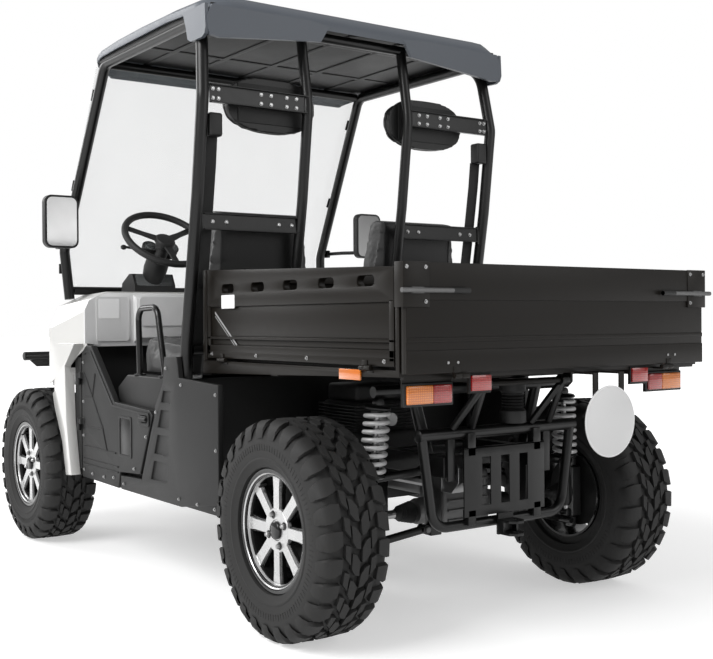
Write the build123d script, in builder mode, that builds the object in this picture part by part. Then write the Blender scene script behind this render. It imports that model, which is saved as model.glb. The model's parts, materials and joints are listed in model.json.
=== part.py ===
from build123d import *
import math
import os

# Side-by-side utility vehicle: two seats under a tube cage, a tipping cargo bed behind.
# Millimetres. +X is forwards, +Y is to the driver's side, +Z is up.
# The origin is on the ground, in the middle of the vehicle's length and width.

os.makedirs("parts", exist_ok=True)

# ---------------------------------------------------------------- driving dimensions
# Wheels and axles
wheelbase = 1863.0
rear_axle_x = -930.0
front_axle_x = rear_axle_x + wheelbase
rear_half_track = 575.0
front_half_track = 637.0
tyre_radius = 311.0
rear_tyre_width = 215.0
front_tyre_width = 205.0
lug_depth = 13.0
lug_count = 18
lug_turn = 5.0
shoulder_slant = 62.0
wheel_sides = 2 * lug_count
rim_sides = 18
rim_radius = 152.4
rim_lip_radius = 174.0
rim_width = 178.0
rim_wall = 7.0
rim_gap = 0.3
spoke_count = 8
spoke_width = 34.0
hub_radius = 46.0
axle_z = tyre_radius
kingpin_y = 600.0

tube_sides = 8
small_sides = 6
tube_turn = 180.0 / tube_sides
corner = 1.0 / math.cos(math.pi / tube_sides)

# Clearances
fit_gap = 0.3
running_gap = 6.0
bore_play = 0.2

# Frame
rail_y = 190.0
rail_width = 40.0
rail_height = 60.0
rail_mid_z = 300.0
sill_z = 310.0
sill_y = 600.0
sill_size = 40.0
floor_thickness = 6.0
cage_radius = 20.0
cage_bend = 130.0
pillar_y = 610.0
pillar_top_y = 590.0
inner_pillar_y = 214.0
front_pillar_y = 620.0

# Cargo bed
bed_front_x = -359.0
bed_rear_x = -1428.0
bed_half_width = 574.0
bed_top_front_z = 1060.0
bed_top_rear_z = 1028.0
bed_low_front_z = 726.0
bed_low_rear_z = 752.0
bed_deck_z = 775.0
wall_thickness = 24.0
slot_length = 46.0
slot_height = 26.0
slot_pitch = 184.0
slot_first_x = -525.0
bed_hinge_x = -1250.0
bed_hinge_z = 715.0

# Doors
door_outer_y = 650.0
door_hinge_x = 512.0
door_hinge_y = 661.0

# Seats
seat_centre_y = 337.0
seat_width = 430.0
seat_base_top_z = 704.0
seat_top_z = 1285.0


# ---------------------------------------------------------------- helpers
def tube(points, radius, bends, sides=tube_sides):
    """A round tube along the points, with a bend radius at each corner."""
    with BuildPart() as piece:
        with BuildLine() as route:
            if bends:
                FilletPolyline(*points, radius=bends)
            else:
                Line(*points)
        with BuildSketch(Plane(origin=route.line @ 0, z_dir=route.line % 0)):
            RegularPolygon(radius, sides, major_radius=False, rotation=180.0 / sides)
        sweep(path=route.line)
    return piece.part


def rod(start, end, radius, sides=tube_sides):
    """A straight round bar between two points."""
    return tube([start, end], radius, None, sides)


def barrel(start, end, radius, sides=tube_sides):
    """A straight round bar between two points, square to its length at both ends."""
    reach = Vector(*end) - Vector(*start)
    with BuildPart() as piece:
        with BuildSketch(Plane(origin=start, z_dir=reach)):
            RegularPolygon(radius, sides, major_radius=False, rotation=180.0 / sides)
        extrude(amount=reach.length)
    return piece.part


def side_plate(outline, y, thickness):
    """A plate cut to an outline of (x, z) points, from y inwards by its thickness."""
    with BuildPart() as piece:
        with BuildSketch(Plane.XZ.offset(-y)):
            with BuildLine():
                Polyline(*outline, close=True)
            make_face()
        extrude(amount=thickness)
    return piece.part


def block(x, y, z):
    """A box between the low and high values given for each axis."""
    with BuildPart() as piece:
        with Locations(((x[0] + x[1]) / 2, (y[0] + y[1]) / 2, (z[0] + z[1]) / 2)):
            Box(x[1] - x[0], y[1] - y[0], z[1] - z[0])
    return piece.part


def write(part, name):
    """Label a finished piece and write it to its own STEP file."""
    part.label = name
    export_step(part, "parts/" + name + ".step")


# ---------------------------------------------------------------- wheels
face_z = rim_width / 2 - 34.0
hub_back_z = face_z - 26.0
axle_radius = 20.0
axle_reach = 26.0


def lugged_ring(low, high, turn):
    """A disc with straight-sided lugs around it; its root corners match the carcass's."""
    pitch = 360.0 / lug_count
    root = tyre_radius - lug_depth
    tip = tyre_radius / math.cos(math.radians(pitch * 0.22))
    corners = (
        # share of the pitch, radius
        (0.0, root),
        (0.03, tip),
        (0.47, tip),
        (0.5, root),
    )
    outline = []
    for lug in range(lug_count):
        for share, radius in corners:
            angle = math.radians((lug + share) * pitch + turn)
            outline.append((radius * math.cos(angle), radius * math.sin(angle)))
    with BuildPart() as ring:
        with BuildSketch(Plane.XY.offset(low)):
            with BuildLine():
                Polyline(*outline, close=True)
            make_face()
        extrude(amount=high - low)
    return ring.part


def make_tyre(width):
    """A lugged tyre about the Z axis, with its outer side at +Z."""
    half = width / 2
    shoulder = half - 22.0
    root = tyre_radius - lug_depth
    lip_z = rim_width / 2 - rim_wall - rim_gap
    with BuildPart() as tyre:
        add(lugged_ring(-shoulder, 0.0, lug_turn))
        add(lugged_ring(0.0, shoulder, lug_turn + 180.0 / lug_count))
        for side in (Plane.XY, Plane(origin=(0, 0, 0), x_dir=(-1, 0, 0), z_dir=(0, 0, -1))):
            with BuildSketch(side.offset(shoulder)):
                RegularPolygon(root, wheel_sides, rotation=lug_turn)
            extrude(amount=half - shoulder, taper=shoulder_slant)
        with BuildSketch(Plane.XY.offset(lip_z)):
            RegularPolygon(rim_lip_radius + rim_gap, rim_sides)
        extrude(amount=half, mode=Mode.SUBTRACT)
        with BuildSketch(Plane.XY.offset(-half)):
            RegularPolygon(rim_radius + rim_gap, rim_sides)
        extrude(amount=width, mode=Mode.SUBTRACT)
    return tyre.part


def make_rim():
    """A spoked rim about the Z axis, with its outer face at +Z."""
    half = rim_width / 2
    hub_steps = (
        # radius, from z, to z
        (hub_radius, face_z, face_z + 14.0),
        (hub_radius - 6.0, hub_back_z, face_z),
        (hub_radius - 16.0, face_z + 14.0, face_z + 24.0),
    )
    with BuildPart() as rim:
        with BuildSketch(Plane.XY.offset(-half)):
            RegularPolygon(rim_radius, rim_sides)
            RegularPolygon(rim_radius - rim_wall, rim_sides, mode=Mode.SUBTRACT)
        extrude(amount=rim_width)
        with BuildSketch(Plane.XY.offset(half - rim_wall)):
            RegularPolygon(rim_lip_radius, rim_sides)
            RegularPolygon(rim_radius - rim_wall, rim_sides, mode=Mode.SUBTRACT)
        extrude(amount=rim_wall)
        with BuildSketch(Plane.XY.offset(face_z)):
            with PolarLocations(0, spoke_count):
                with Locations((rim_radius / 2, 0)):
                    Rectangle(rim_radius - rim_wall, spoke_width)
        extrude(amount=14.0)
        for radius, low, high in hub_steps:
            with BuildSketch(Plane.XY.offset(low)):
                RegularPolygon(radius, tube_sides)
            extrude(amount=high - low)
        with BuildSketch(Plane.XY.offset(hub_back_z)):
            RegularPolygon(axle_radius + bore_play, tube_sides, major_radius=False)
        extrude(amount=axle_reach, mode=Mode.SUBTRACT)
    return rim.part


wheels = (
    # name, axle x, centre y, tyre width
    ("front_left", front_axle_x, front_half_track, front_tyre_width),
    ("front_right", front_axle_x, -front_half_track, front_tyre_width),
    ("rear_left", rear_axle_x, rear_half_track, rear_tyre_width),
    ("rear_right", rear_axle_x, -rear_half_track, rear_tyre_width),
)
rim_shape = make_rim()
tyre_shapes = {width: make_tyre(width) for width in (front_tyre_width, rear_tyre_width)}
for name, wheel_x, wheel_y, wheel_width in wheels:
    outward_turn = -90.0 if wheel_y > 0 else 90.0
    with BuildPart() as tyre_node:
        with Locations(Location((wheel_x, wheel_y, axle_z), (outward_turn, 0, 0))):
            add(tyre_shapes[wheel_width])
    write(tyre_node.part, "tyre_" + name)
    with BuildPart() as rim_node:
        with Locations(Location((wheel_x, wheel_y, axle_z), (outward_turn, 0, 0))):
            add(rim_shape)
    write(rim_node.part, "rim_" + name)

# ---------------------------------------------------------------- main frame
guard_x = -1140.0
rail_path = (
    # x, z of the rail's middle line
    (guard_x + 6.0, 470.0),
    (-760.0, 470.0),
    (-640.0, rail_mid_z),
    (640.0, rail_mid_z),
    (760.0, 430.0),
    (1330.0, 430.0),
)
cross_members = (
    # x, z, half length, size
    (-560.0, 310.0, sill_y - sill_size / 2, sill_size),
    (-60.0, 310.0, sill_y - sill_size / 2, sill_size),
    (460.0, 310.0, sill_y - sill_size / 2, sill_size),
    (-1000.0, 470.0, rail_y, sill_size),
    (-800.0, 470.0, rail_y, sill_size),
    (900.0, 430.0, rail_y, sill_size),
    (1310.0, 430.0, rail_y, sill_size),
)
arm_low_z = 285.0
rear_arm_spread = 130.0
front_arm_spread = 60.0
post_length = 30.0
arm_posts = (
    # x, z of the rail that carries it
    (rear_axle_x - rear_arm_spread, 450.0),
    (rear_axle_x + rear_arm_spread, 450.0),
    (front_axle_x - front_arm_spread, 410.0),
    (front_axle_x + front_arm_spread, 410.0),
)
sill_back_x = -580.0
sill_front_x = 480.0
tower_radius = 17.0
shock_towers = (
    # x, z of the crossbar, its half length, y where the posts reach it, z of the posts' feet
    (-1040.0, 690.0, 390.0, 250.0, 490.0),
    (front_axle_x, 760.0, 320.0, 230.0, 450.0),
)

with BuildPart() as chassis_frame:
    for side in (-1, 1):
        with BuildSketch(Plane.XZ.offset(-side * rail_y - rail_width / 2)):
            with BuildLine():
                Polyline(*rail_path)
            trace(line_width=rail_height)
        extrude(amount=rail_width)
        add(
            block(
                (sill_back_x, sill_front_x),
                (side * sill_y - sill_size / 2, side * sill_y + sill_size / 2),
                (sill_z - sill_size / 2, sill_z + sill_size / 2),
            )
        )
        for tower_x, tower_z, tower_half, post_y, foot_z in shock_towers:
            add(rod((tower_x, side * rail_y, foot_z), (tower_x, side * post_y, tower_z), tower_radius))
            add(rod((tower_x, 0, tower_z), (tower_x, side * tower_half, tower_z), tower_radius))
        for post_x, post_top_z in arm_posts:
            add(
                block(
                    (post_x - post_length / 2, post_x + post_length / 2),
                    (side * rail_y - rail_width / 2, side * rail_y + rail_width / 2),
                    (arm_low_z - rail_width / 2, post_top_z),
                )
            )
    for member_x, member_z, half_length, size in cross_members:
        add(
            block(
                (member_x - size / 2, member_x + size / 2),
                (-half_length, half_length),
                (member_z - size / 2, member_z + size / 2),
            )
        )
write(chassis_frame.part, "chassis_frame")

# ---------------------------------------------------------------- rear guard, bed supports and tow hitch
guard_tube_z = 567.0
guard_tube_half = 306.0
guard_tube_radius = 18.0
guard_plate_half = 160.0
guard_plate_x = guard_x - 26.0
guard_plate_z = (325.0, 525.0)
guard_slots = 3
hitch_bore_radius = 8.25
hitch_half = 30.0
hitch_plate_z = (268.0, 304.0)
hitch_plate_thickness = 8.0
hitch_bore_x = -1205.0
loop_radius = 15.0

with BuildPart() as rear_guard:
    add(
        rod(
            (guard_x, -guard_tube_half, guard_tube_z),
            (guard_x, guard_tube_half, guard_tube_z),
            guard_tube_radius,
        ),
    )
    add(
        tube(
            [
                (guard_x, 296.0, guard_tube_z),
                (guard_x, 256.0, 300.0),
                (guard_x, -256.0, 300.0),
                (guard_x, -296.0, guard_tube_z),
            ],
            loop_radius,
            60.0,
            small_sides,
        )
    )
    with BuildSketch(Plane(origin=(guard_plate_x, 0, 0), x_dir=(0, 1, 0), z_dir=(1, 0, 0))):
        with Locations((0, sum(guard_plate_z) / 2)):
            Rectangle(2 * guard_plate_half, guard_plate_z[1] - guard_plate_z[0])
            with GridLocations(74.0, 1, guard_slots, 1):
                Rectangle(34.0, 140.0, mode=Mode.SUBTRACT)
    extrude(amount=5.0)
    for side in (-1, 1):
        add(
            block(
                (guard_plate_x, guard_x),
                (side * 130.0 - 15.0, side * 130.0 + 15.0),
                (500.0, guard_tube_z),
            ),
        )
        add(block((guard_plate_x, guard_x), (side * 130.0 - 15.0, side * 130.0 + 15.0), (300.0, 345.0)))
        add(
            block(
                (guard_x - 6.0, guard_x + 6.0),
                (side * rail_y - 14.0, side * rail_y + 14.0),
                (430.0, guard_tube_z),
            ),
        )
write(rear_guard.part, "rear_guard")

hitch_back_x = guard_x - loop_radius / math.cos(math.pi / small_sides) - fit_gap
with BuildPart() as hitch_clevis:
    for mid_z in hitch_plate_z:
        with BuildSketch(Plane.XY.offset(mid_z - hitch_plate_thickness / 2)):
            with BuildLine():
                Polyline(
                    (hitch_back_x - 8.0, -hitch_half),
                    (hitch_bore_x - 6.0, -hitch_half),
                    (hitch_bore_x - 24.0, -12.0),
                    (hitch_bore_x - 24.0, 12.0),
                    (hitch_bore_x - 6.0, hitch_half),
                    (hitch_back_x - 8.0, hitch_half),
                    close=True,
                )
            make_face()
            with Locations((hitch_bore_x, 0)):
                Circle(hitch_bore_radius, mode=Mode.SUBTRACT)
        extrude(amount=hitch_plate_thickness)
    add(
        block(
            (hitch_back_x - 9.0, hitch_back_x),
            (-hitch_half, hitch_half),
            (262.0, guard_plate_z[0] - fit_gap),
        ),
    )
    for side in (-1, 1):
        cheek = sorted((side * (hitch_half - hitch_plate_thickness), side * hitch_half))
        add(block((hitch_back_x - 30.0, hitch_back_x - 8.0), cheek, (hitch_plate_z[0], hitch_plate_z[1])))
write(hitch_clevis.part, "hitch_clevis")

bed_pivot_y = 155.0
pivot_length = 30.0
pivot_radius = 16.0
pivot_pin_radius = 9.0
support_spread = 37.0
support_radius = 10.0
with BuildPart() as bed_supports:
    lean = Vector(bed_hinge_x - guard_x, 0, bed_hinge_z - guard_tube_z).normalized()
    foot = Vector(guard_x, 0, guard_tube_z) + lean * (guard_tube_radius + 3.2)
    for side in (-1, 1):
        for direction in (-1, 1):
            foot_y = side * bed_pivot_y + direction * support_spread
            add(
                rod(
                    (foot.X, foot_y, foot.Z),
                    (bed_hinge_x, side * bed_pivot_y, bed_hinge_z),
                    support_radius,
                )
            )
        ends = [(bed_hinge_x, side * bed_pivot_y + d * pivot_length / 2, bed_hinge_z) for d in (-1, 1)]
        add(barrel(ends[0], ends[1], pivot_radius))
        add(barrel(ends[0], ends[1], pivot_pin_radius * corner + bore_play), mode=Mode.SUBTRACT)
write(bed_supports.part, "bed_supports")

# ---------------------------------------------------------------- cage
rear_pillar = (
    # x, z of the middle line, from the sill upwards
    (-309.0, sill_z + sill_size / 2 + fit_gap),
    (-309.0, 800.0),
    (-398.0, 1300.0),
    (-438.0, 1610.0),
    (-396.0, 1868.0),
)
front_pillar = (
    # x, z of the middle line, from the roof rail downwards
    (392.0, 1872.0),
    (757.0, 1190.0),
    (761.0, 1080.0),
    (738.0, 987.0),
)
plate_thickness = 5.0
bar_relief = 0.4
headrest_plate_z = (1590.0, 1650.0)
backrest_plate_z = (1190.0, 1245.0)
cross_bars = (
    # x, z, half length
    (-396.0, 1868.0, pillar_top_y),
    (392.0, 1872.0, pillar_top_y),
    (748.0, 1022.0, front_pillar_y - 9.5),
)

with BuildPart() as cage_left:
    pillar_line = [
        (rear_pillar[0][0], pillar_y, rear_pillar[0][1]),
        (rear_pillar[1][0], pillar_y, rear_pillar[1][1]),
        (rear_pillar[2][0], pillar_y, rear_pillar[2][1]),
        (rear_pillar[3][0], pillar_y, rear_pillar[3][1]),
        (rear_pillar[4][0], pillar_top_y, rear_pillar[4][1]),
        (front_pillar[0][0], pillar_top_y, front_pillar[0][1]),
        (front_pillar[1][0], front_pillar_y, front_pillar[1][1]),
        (front_pillar[2][0], front_pillar_y, front_pillar[2][1]),
        (front_pillar[3][0], front_pillar_y - 12.0, front_pillar[3][1]),
    ]
    add(tube(pillar_line, cage_radius, [cage_bend, 300.0, 300.0, 90.0, 110.0, 60.0, 60.0]))
write(cage_left.part, "cage_left")

with BuildPart() as cage_right:
    mirror(cage_left.part, about=Plane.XZ)
write(cage_right.part, "cage_right")

with BuildPart() as cage_middle:
    for side in (-1, 1):
        inner_line = [(x, side * inner_pillar_y, z) for x, z in rear_pillar[1:]]
        add(tube(inner_line, cage_radius - 2.0, [300.0, 300.0]))
    for bar_x, bar_z, half_length in cross_bars:
        reach = half_length - cage_radius - fit_gap - bar_relief
        add(rod((bar_x, -reach, bar_z), (bar_x, reach, bar_z), cage_radius - 3.0))
    for (plate_low, plate_high), plate_x in ((headrest_plate_z, -438.0), (backrest_plate_z, -383.0)):
        for side in (-1, 1):
            inner_y, outer_y = inner_pillar_y, pillar_y - cage_radius - 4.0
            add(
                block(
                    (plate_x - plate_thickness / 2, plate_x + plate_thickness / 2),
                    (side * inner_y, side * outer_y) if side > 0 else (side * outer_y, side * inner_y),
                    (plate_low, plate_high),
                )
            )
    lower_reach = pillar_y - cage_radius - fit_gap
    add(rod((-309.0, -lower_reach, 800.0), (-309.0, lower_reach, 800.0), cage_radius - 3.0))
write(cage_middle.part, "cage_middle")

# ---------------------------------------------------------------- suspension and drive
upright_half = 84.0
ball_height = 38.0
ball_radius = 18.0
arm_end_z = (axle_z - upright_half - ball_height / 2, axle_z + upright_half + ball_height / 2)
arm_radius = 12.0
bush_radius = 14.0
bush_length = 36.0
bush_y = rail_y + rail_width / 2 + bush_radius + fit_gap
rear_upright_y = 520.0
arm_sets = (
    # node, axle x, foot half spread, upper foot z, outer y
    ("rear_suspension", rear_axle_x, rear_arm_spread, 455.0, rear_upright_y),
    ("front_suspension", front_axle_x, front_arm_spread, 415.0, kingpin_y),
)
shock_eye_radius = 14.0
shock_seat_y = (405.0, 430.0)
steer_arm = 90.0
steer_arm_z = (304.0, 315.0)
tie_rod_radius = 8.0
rack_z = 323.0
rack_x = front_axle_x + steer_arm
rack_radius = 14.7


def along(start, end, y):
    """The point at a given y on the line between two points."""
    share = (y - start[1]) / (end[1] - start[1])
    return tuple(a + (b - a) * share for a, b in zip(start, end))


for name, axle_x, spread, upper_z, outer_y in arm_sets:
    with BuildPart() as arms:
        for end_z, foot_z in zip(arm_end_z, (arm_low_z, upper_z)):
            for direction in (-1, 1):
                foot_x = axle_x + direction * spread
                add(rod((foot_x, bush_y, foot_z), (axle_x, outer_y, end_z), arm_radius, small_sides))
                add(
                    barrel(
                        (foot_x - bush_length / 2, bush_y, foot_z),
                        (foot_x + bush_length / 2, bush_y, foot_z),
                        bush_radius,
                    )
                )
            with BuildSketch(Plane.XY.offset(end_z - ball_height / 2 + fit_gap)):
                with Locations((axle_x, outer_y)):
                    RegularPolygon(ball_radius, tube_sides)
            extrude(amount=ball_height - 2 * fit_gap)
        if name == "rear_suspension":
            add(
                block(
                    (axle_x - 26.0, axle_x + 26.0),
                    (outer_y - 20.0, outer_y + 24.0),
                    (axle_z - upright_half - fit_gap, axle_z + upright_half + fit_gap),
                )
            )
            with BuildSketch(Plane.XZ.offset(-outer_y)):
                with Locations((axle_x, axle_z)):
                    RegularPolygon(axle_radius, tube_sides, rotation=tube_turn)
            extrude(amount=-(rear_half_track + hub_back_z + axle_reach - 2.0 - outer_y))
            lug = along(
                (axle_x - spread, bush_y, arm_low_z),
                (axle_x, outer_y, arm_end_z[0]),
                shock_seat_y[0],
            )
            add(barrel((lug[0] - 62.0, lug[1], lug[2]), lug, 10.0))
            rear_shock_seat = (lug[0] - 40.0, lug[1], lug[2] + 10.0)
        else:
            lug = along((axle_x - spread, bush_y, upper_z), (axle_x, outer_y, arm_end_z[1]), shock_seat_y[1])
            add(barrel(lug, (2 * axle_x - lug[0], lug[1], lug[2]), 10.0))
            front_shock_seat = (axle_x, lug[1], lug[2] + 10.0)
        mirror(about=Plane.XZ)
        if name == "front_suspension":
            rack_half = rail_y + rail_width / 2
            add(barrel((rack_x, -rack_half, rack_z), (rack_x, rack_half, rack_z), rack_radius))
            ends = ((rack_x, -rack_half, rack_z), (rack_x, rack_half, rack_z))
            add(barrel(ends[0], ends[1], tie_rod_radius + bore_play), mode=Mode.SUBTRACT)
    write(arms.part, name)

with BuildPart() as shock_absorbers:
    for (tower_x, tower_z, tower_half, post_y, foot_z), seat, top_y, spring_share in (
        (shock_towers[0], rear_shock_seat, 372.0, (0.04, 0.40)),
        (shock_towers[1], front_shock_seat, 300.0, (0.08, 0.72)),
    ):
        top = Vector(tower_x, top_y, tower_z - tower_radius - shock_eye_radius)
        bottom = Vector(*seat) + Vector(0, 0, shock_eye_radius + fit_gap)
        for end in (top, bottom):
            add(
                barrel(
                    tuple(end - Vector(11, 0, 0)),
                    tuple(end + Vector(11, 0, 0)),
                    shock_eye_radius,
                    small_sides,
                ),
            )
        add(barrel(tuple(top), tuple(bottom), 13.0, small_sides))
        reach = bottom - top
        add(barrel(tuple(top + reach * spring_share[0]), tuple(top + reach * spring_share[1]), 40.0))
        add(barrel(tuple(top + reach * spring_share[1]), tuple(top + reach * 0.9), 19.0, small_sides))
    mirror(about=Plane.XZ)
write(shock_absorbers.part, "shock_absorbers")

with BuildPart() as axle_drives:
    add(block((rear_axle_x - 65.0, rear_axle_x + 65.0), (-96.0, 96.0), (255.0, 435.0)))
    add(block((rear_axle_x + 65.0, -620.0 - fit_gap), (-60.0, 60.0), (340.0, 420.0)))
    add(block((front_axle_x - 50.0, front_axle_x + 50.0), (-96.0, 96.0), (262.0, 410.0 - fit_gap)))
    for axle_x, shaft_y in ((rear_axle_x, rear_upright_y - 23.0), (front_axle_x, kingpin_y - 30.0)):
        add(barrel((axle_x, -shaft_y, axle_z), (axle_x, shaft_y, axle_z), 14.0))
        add(barrel((axle_x, -160.0, axle_z), (axle_x, 160.0, axle_z), 36.0))
write(axle_drives.part, "axle_drives")

with BuildPart() as knuckle_left:
    with BuildSketch(Plane.XY.offset(axle_z - upright_half)):
        with Locations((front_axle_x, kingpin_y)):
            RegularPolygon(24.0, tube_sides)
    extrude(amount=2 * upright_half)
    with BuildSketch(Plane.XZ.offset(-kingpin_y)):
        with Locations((front_axle_x, axle_z)):
            RegularPolygon(axle_radius, tube_sides, rotation=tube_turn)
    extrude(amount=-(front_half_track + hub_back_z + axle_reach - 2.0 - kingpin_y))
    with BuildSketch(Plane.XZ.offset(-kingpin_y)):
        with Locations((front_axle_x, axle_z)):
            RegularPolygon(50.0, tube_sides)
    extrude(amount=-(front_half_track + hub_back_z - running_gap - kingpin_y))
    with BuildSketch(Plane.XY.offset(steer_arm_z[0])):
        with Locations((front_axle_x + steer_arm / 2, kingpin_y)):
            Rectangle(steer_arm + 26.0, 26.0)
    extrude(amount=steer_arm_z[1] - steer_arm_z[0])
write(knuckle_left.part, "knuckle_left")
with BuildPart() as knuckle_right:
    mirror(knuckle_left.part, about=Plane.XZ)
write(knuckle_right.part, "knuckle_right")

with BuildPart() as tie_rods:
    add(barrel((rack_x, -kingpin_y, rack_z), (rack_x, kingpin_y, rack_z), tie_rod_radius))
    for side in (-1, 1):
        add(
            barrel(
                (rack_x, side * kingpin_y, steer_arm_z[1] + fit_gap),
                (rack_x, side * kingpin_y, rack_z + 9.0),
                12.0,
            )
        )
write(tie_rods.part, "tie_rods")

# ---------------------------------------------------------------- engine and silencer
engine_x = (-620.0, -290.0)
with BuildPart() as engine:
    add(block(engine_x, (-165.0, 165.0), (sill_z + sill_size / 2 + fit_gap, 690.0)))
write(engine.part, "engine")

silencer_x = -1085.0
with BuildPart() as silencer:
    add(barrel((silencer_x, 100.0, 443.0), (silencer_x, 160.0, 443.0), 55.0))
    add(barrel((silencer_x, 130.0, 405.0), (engine_x[0] - fit_gap, 130.0, 405.0), 16.0))
write(silencer.part, "silencer")

# ---------------------------------------------------------------- floor, seat base and side panels
floor_z = sill_z + sill_size / 2 + fit_gap
floor_half = sill_y + sill_size / 2 - 8.0
toe_x = 584.0
toe_z = (520.0, 798.0)
with BuildPart() as floor_pan:
    add(block((-60.0, 472.0), (-floor_half, floor_half), (floor_z, floor_z + floor_thickness)))
    add(
        side_plate(
            (
                (470.0, floor_z),
                (toe_x, toe_z[0]),
                (toe_x, toe_z[1]),
                (toe_x - floor_thickness, toe_z[1]),
                (toe_x - floor_thickness, toe_z[0] + 2.0),
                (466.0, floor_z + floor_thickness),
            ),
            floor_half - 14.0,
            2 * (floor_half - 14.0),
        )
    )
write(floor_pan.part, "floor_pan")

base_half = sill_y + sill_size / 2 - 2.0
base_wall = 8.0
base_low_z = floor_z + floor_thickness + fit_gap
seat_base_outline = (
    # x, z
    (-275.0, base_low_z),
    (-275.0, seat_base_top_z),
    (150.0, seat_base_top_z),
    (235.0, 655.0),
    (180.0, base_low_z),
)
with BuildPart() as seat_base:
    add(side_plate(seat_base_outline, base_half, 2 * base_half))
    with BuildSketch(Plane.XZ.offset(-base_half + base_wall)):
        with BuildLine():
            Polyline(*seat_base_outline, close=True)
        make_face()
        offset(amount=-base_wall, kind=Kind.INTERSECTION)
        with Locations((-50.0, base_low_z + 10.0)):
            Rectangle(380.0, 40.0)
    extrude(amount=2 * (base_half - base_wall), mode=Mode.SUBTRACT)
write(seat_base.part, "seat_base")

side_outline = (
    # x, z
    (138.0, 296.0),
    (138.0, 344.0),
    (-38.0, 350.0),
    (-142.0, 572.0),
    (-150.0, 610.0),
    (-212.0, 690.0),
    (-225.0, 778.0),
    (-316.0, 780.0),
    (-330.0, 712.0),
    (-598.0, 700.0),
    (-598.0, 335.0),
    (-343.0, 296.0),
)
side_grooves = (
    # z from, z to
    (360.0, 425.0),
    (450.0, 515.0),
    (540.0, 600.0),
    (625.0, 665.0),
)
side_back_y = pillar_y + cage_radius + fit_gap
with BuildPart() as seat_side_left:
    add(side_plate(side_outline, door_outer_y, door_outer_y - side_back_y))
    for low, high in side_grooves:
        shift = (low - 296.0) * -0.32
        add(
            side_plate(
                (
                    (-92.0 + shift, low),
                    (-92.0 + shift - (high - low) * 0.42, high),
                    (-232.0 + shift * 0.35 - (high - low) * 0.12, high),
                    (-232.0 + shift * 0.35, low),
                ),
                door_outer_y,
                8.0,
            ),
            mode=Mode.SUBTRACT,
        )
write(seat_side_left.part, "seat_side_left")
with BuildPart() as seat_side_right:
    mirror(seat_side_left.part, about=Plane.XZ)
write(seat_side_right.part, "seat_side_right")

grab_radius = 11.0
grab_y = 600.0
with BuildPart() as grab_loops:
    add(
        tube(
            [
                (78.0, grab_y, seat_base_top_z + fit_gap + 1.0),
                (88.0, grab_y, 940.0),
                (-68.0, grab_y, 945.0),
                (-128.0, grab_y, seat_base_top_z + fit_gap + 3.0),
            ],
            grab_radius,
            42.0,
            small_sides,
        )
    )
    mirror(about=Plane.XZ)
write(grab_loops.part, "grab_loops")

# ---------------------------------------------------------------- seats
cushion_outline = (
    # x, z
    (-262.0, seat_base_top_z + fit_gap),
    (160.0, seat_base_top_z + fit_gap),
    (174.0, 778.0),
    (150.0, 846.0),
    (-158.0, 828.0),
    (-262.0, 836.0),
)
back_outline = (
    # x, z
    (-264.0, 837.0),
    (-160.0, 829.0),
    (-205.0, 1000.0),
    (-256.0, 1262.0),
    (-286.0, seat_top_z),
    (-344.0, seat_top_z - 12.0),
    (-322.0, 1050.0),
)
for side, side_name in ((1, "left"), (-1, "right")):
    outer_y = side * seat_centre_y + seat_width / 2
    with BuildPart() as seat_cushion:
        add(side_plate(cushion_outline, outer_y, seat_width))
    write(seat_cushion.part, "seat_cushion_" + side_name)
    with BuildPart() as seat_back:
        add(side_plate(back_outline, outer_y, seat_width))
    write(seat_back.part, "seat_back_" + side_name)

headrest_x = -438.0
headrest_back_x = -398.0
headrest_size = (356.0, 195.0)
headrest_z = 1612.0
with BuildPart() as headrests:
    for side in (-1, 1):
        middle_y = side * 330.0
        add(
            block(
                (headrest_back_x, -340.0),
                (middle_y - headrest_size[0] / 2, middle_y + headrest_size[0] / 2),
                (headrest_z - headrest_size[1] / 2, headrest_z + headrest_size[1] / 2),
            )
        )
        add(
            block(
                (headrest_x + plate_thickness / 2 + fit_gap, headrest_back_x),
                (middle_y - 70.0, middle_y + 70.0),
                (headrest_plate_z[0] + 4.0, headrest_plate_z[1] - 4.0),
            )
        )
write(headrests.part, "headrests")

belt_width = 46.0
belt_y = 563.0
with BuildPart() as seat_belts:
    add(block((-446.0, -398.0), (540.0, pillar_y - cage_radius - fit_gap), (1483.0, 1561.0)))
    add(
        side_plate(
            (
                (-404.0, 1486.0),
                (-400.5, 1486.0),
                (-266.5, seat_base_top_z + fit_gap),
                (-270.0, seat_base_top_z + fit_gap),
            ),
            belt_y + belt_width / 2,
            belt_width,
        )
    )
    add(block((-252.0, -232.0), (96.0, 108.0), (seat_base_top_z + fit_gap, 830.0)))
    add(block((-262.0, -222.0), (91.0, 113.0), (830.0, 895.0)))
    mirror(about=Plane.XZ)
write(seat_belts.part, "seat_belts")

# ---------------------------------------------------------------- front body, dash and controls
body_wall = 5.0
shoulder_slope = 0.45
side_slope = 0.45
body_sections = (
    # x, crown's half width, crown's height, drop of the shoulder, drop of the side, side's foot
    (480.0, 560.0, 1012.0, 27.0, 45.0, 800.0),
    (720.0, 560.0, 1003.0, 45.0, 90.0, 650.0),
    (940.0, 470.0, 975.0, 40.0, 140.0, 700.0),
    (1200.0, 380.0, 925.0, 40.0, 131.0, 690.0),
    (1410.0, 300.0, 850.0, 36.0, 133.0, 600.0),
)
fender_tail = (
    # x, z
    (482.0, 812.0),
    (586.0, 724.0),
    (571.0, 512.0),
    (525.0, 305.0),
    (580.0, 300.0),
    (618.0, 429.0),
    (700.0, 560.0),
    (735.0, 660.0),
    (735.0, 812.0),
)
fender_tail_y = (650.0, 690.0)
grille_half = 226.0
grille_z = (636.0, 760.0)
lamp_y = (250.0, 390.0)
lamp_z = (680.0, 768.0)
nose_x = body_sections[-1][0]


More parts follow.
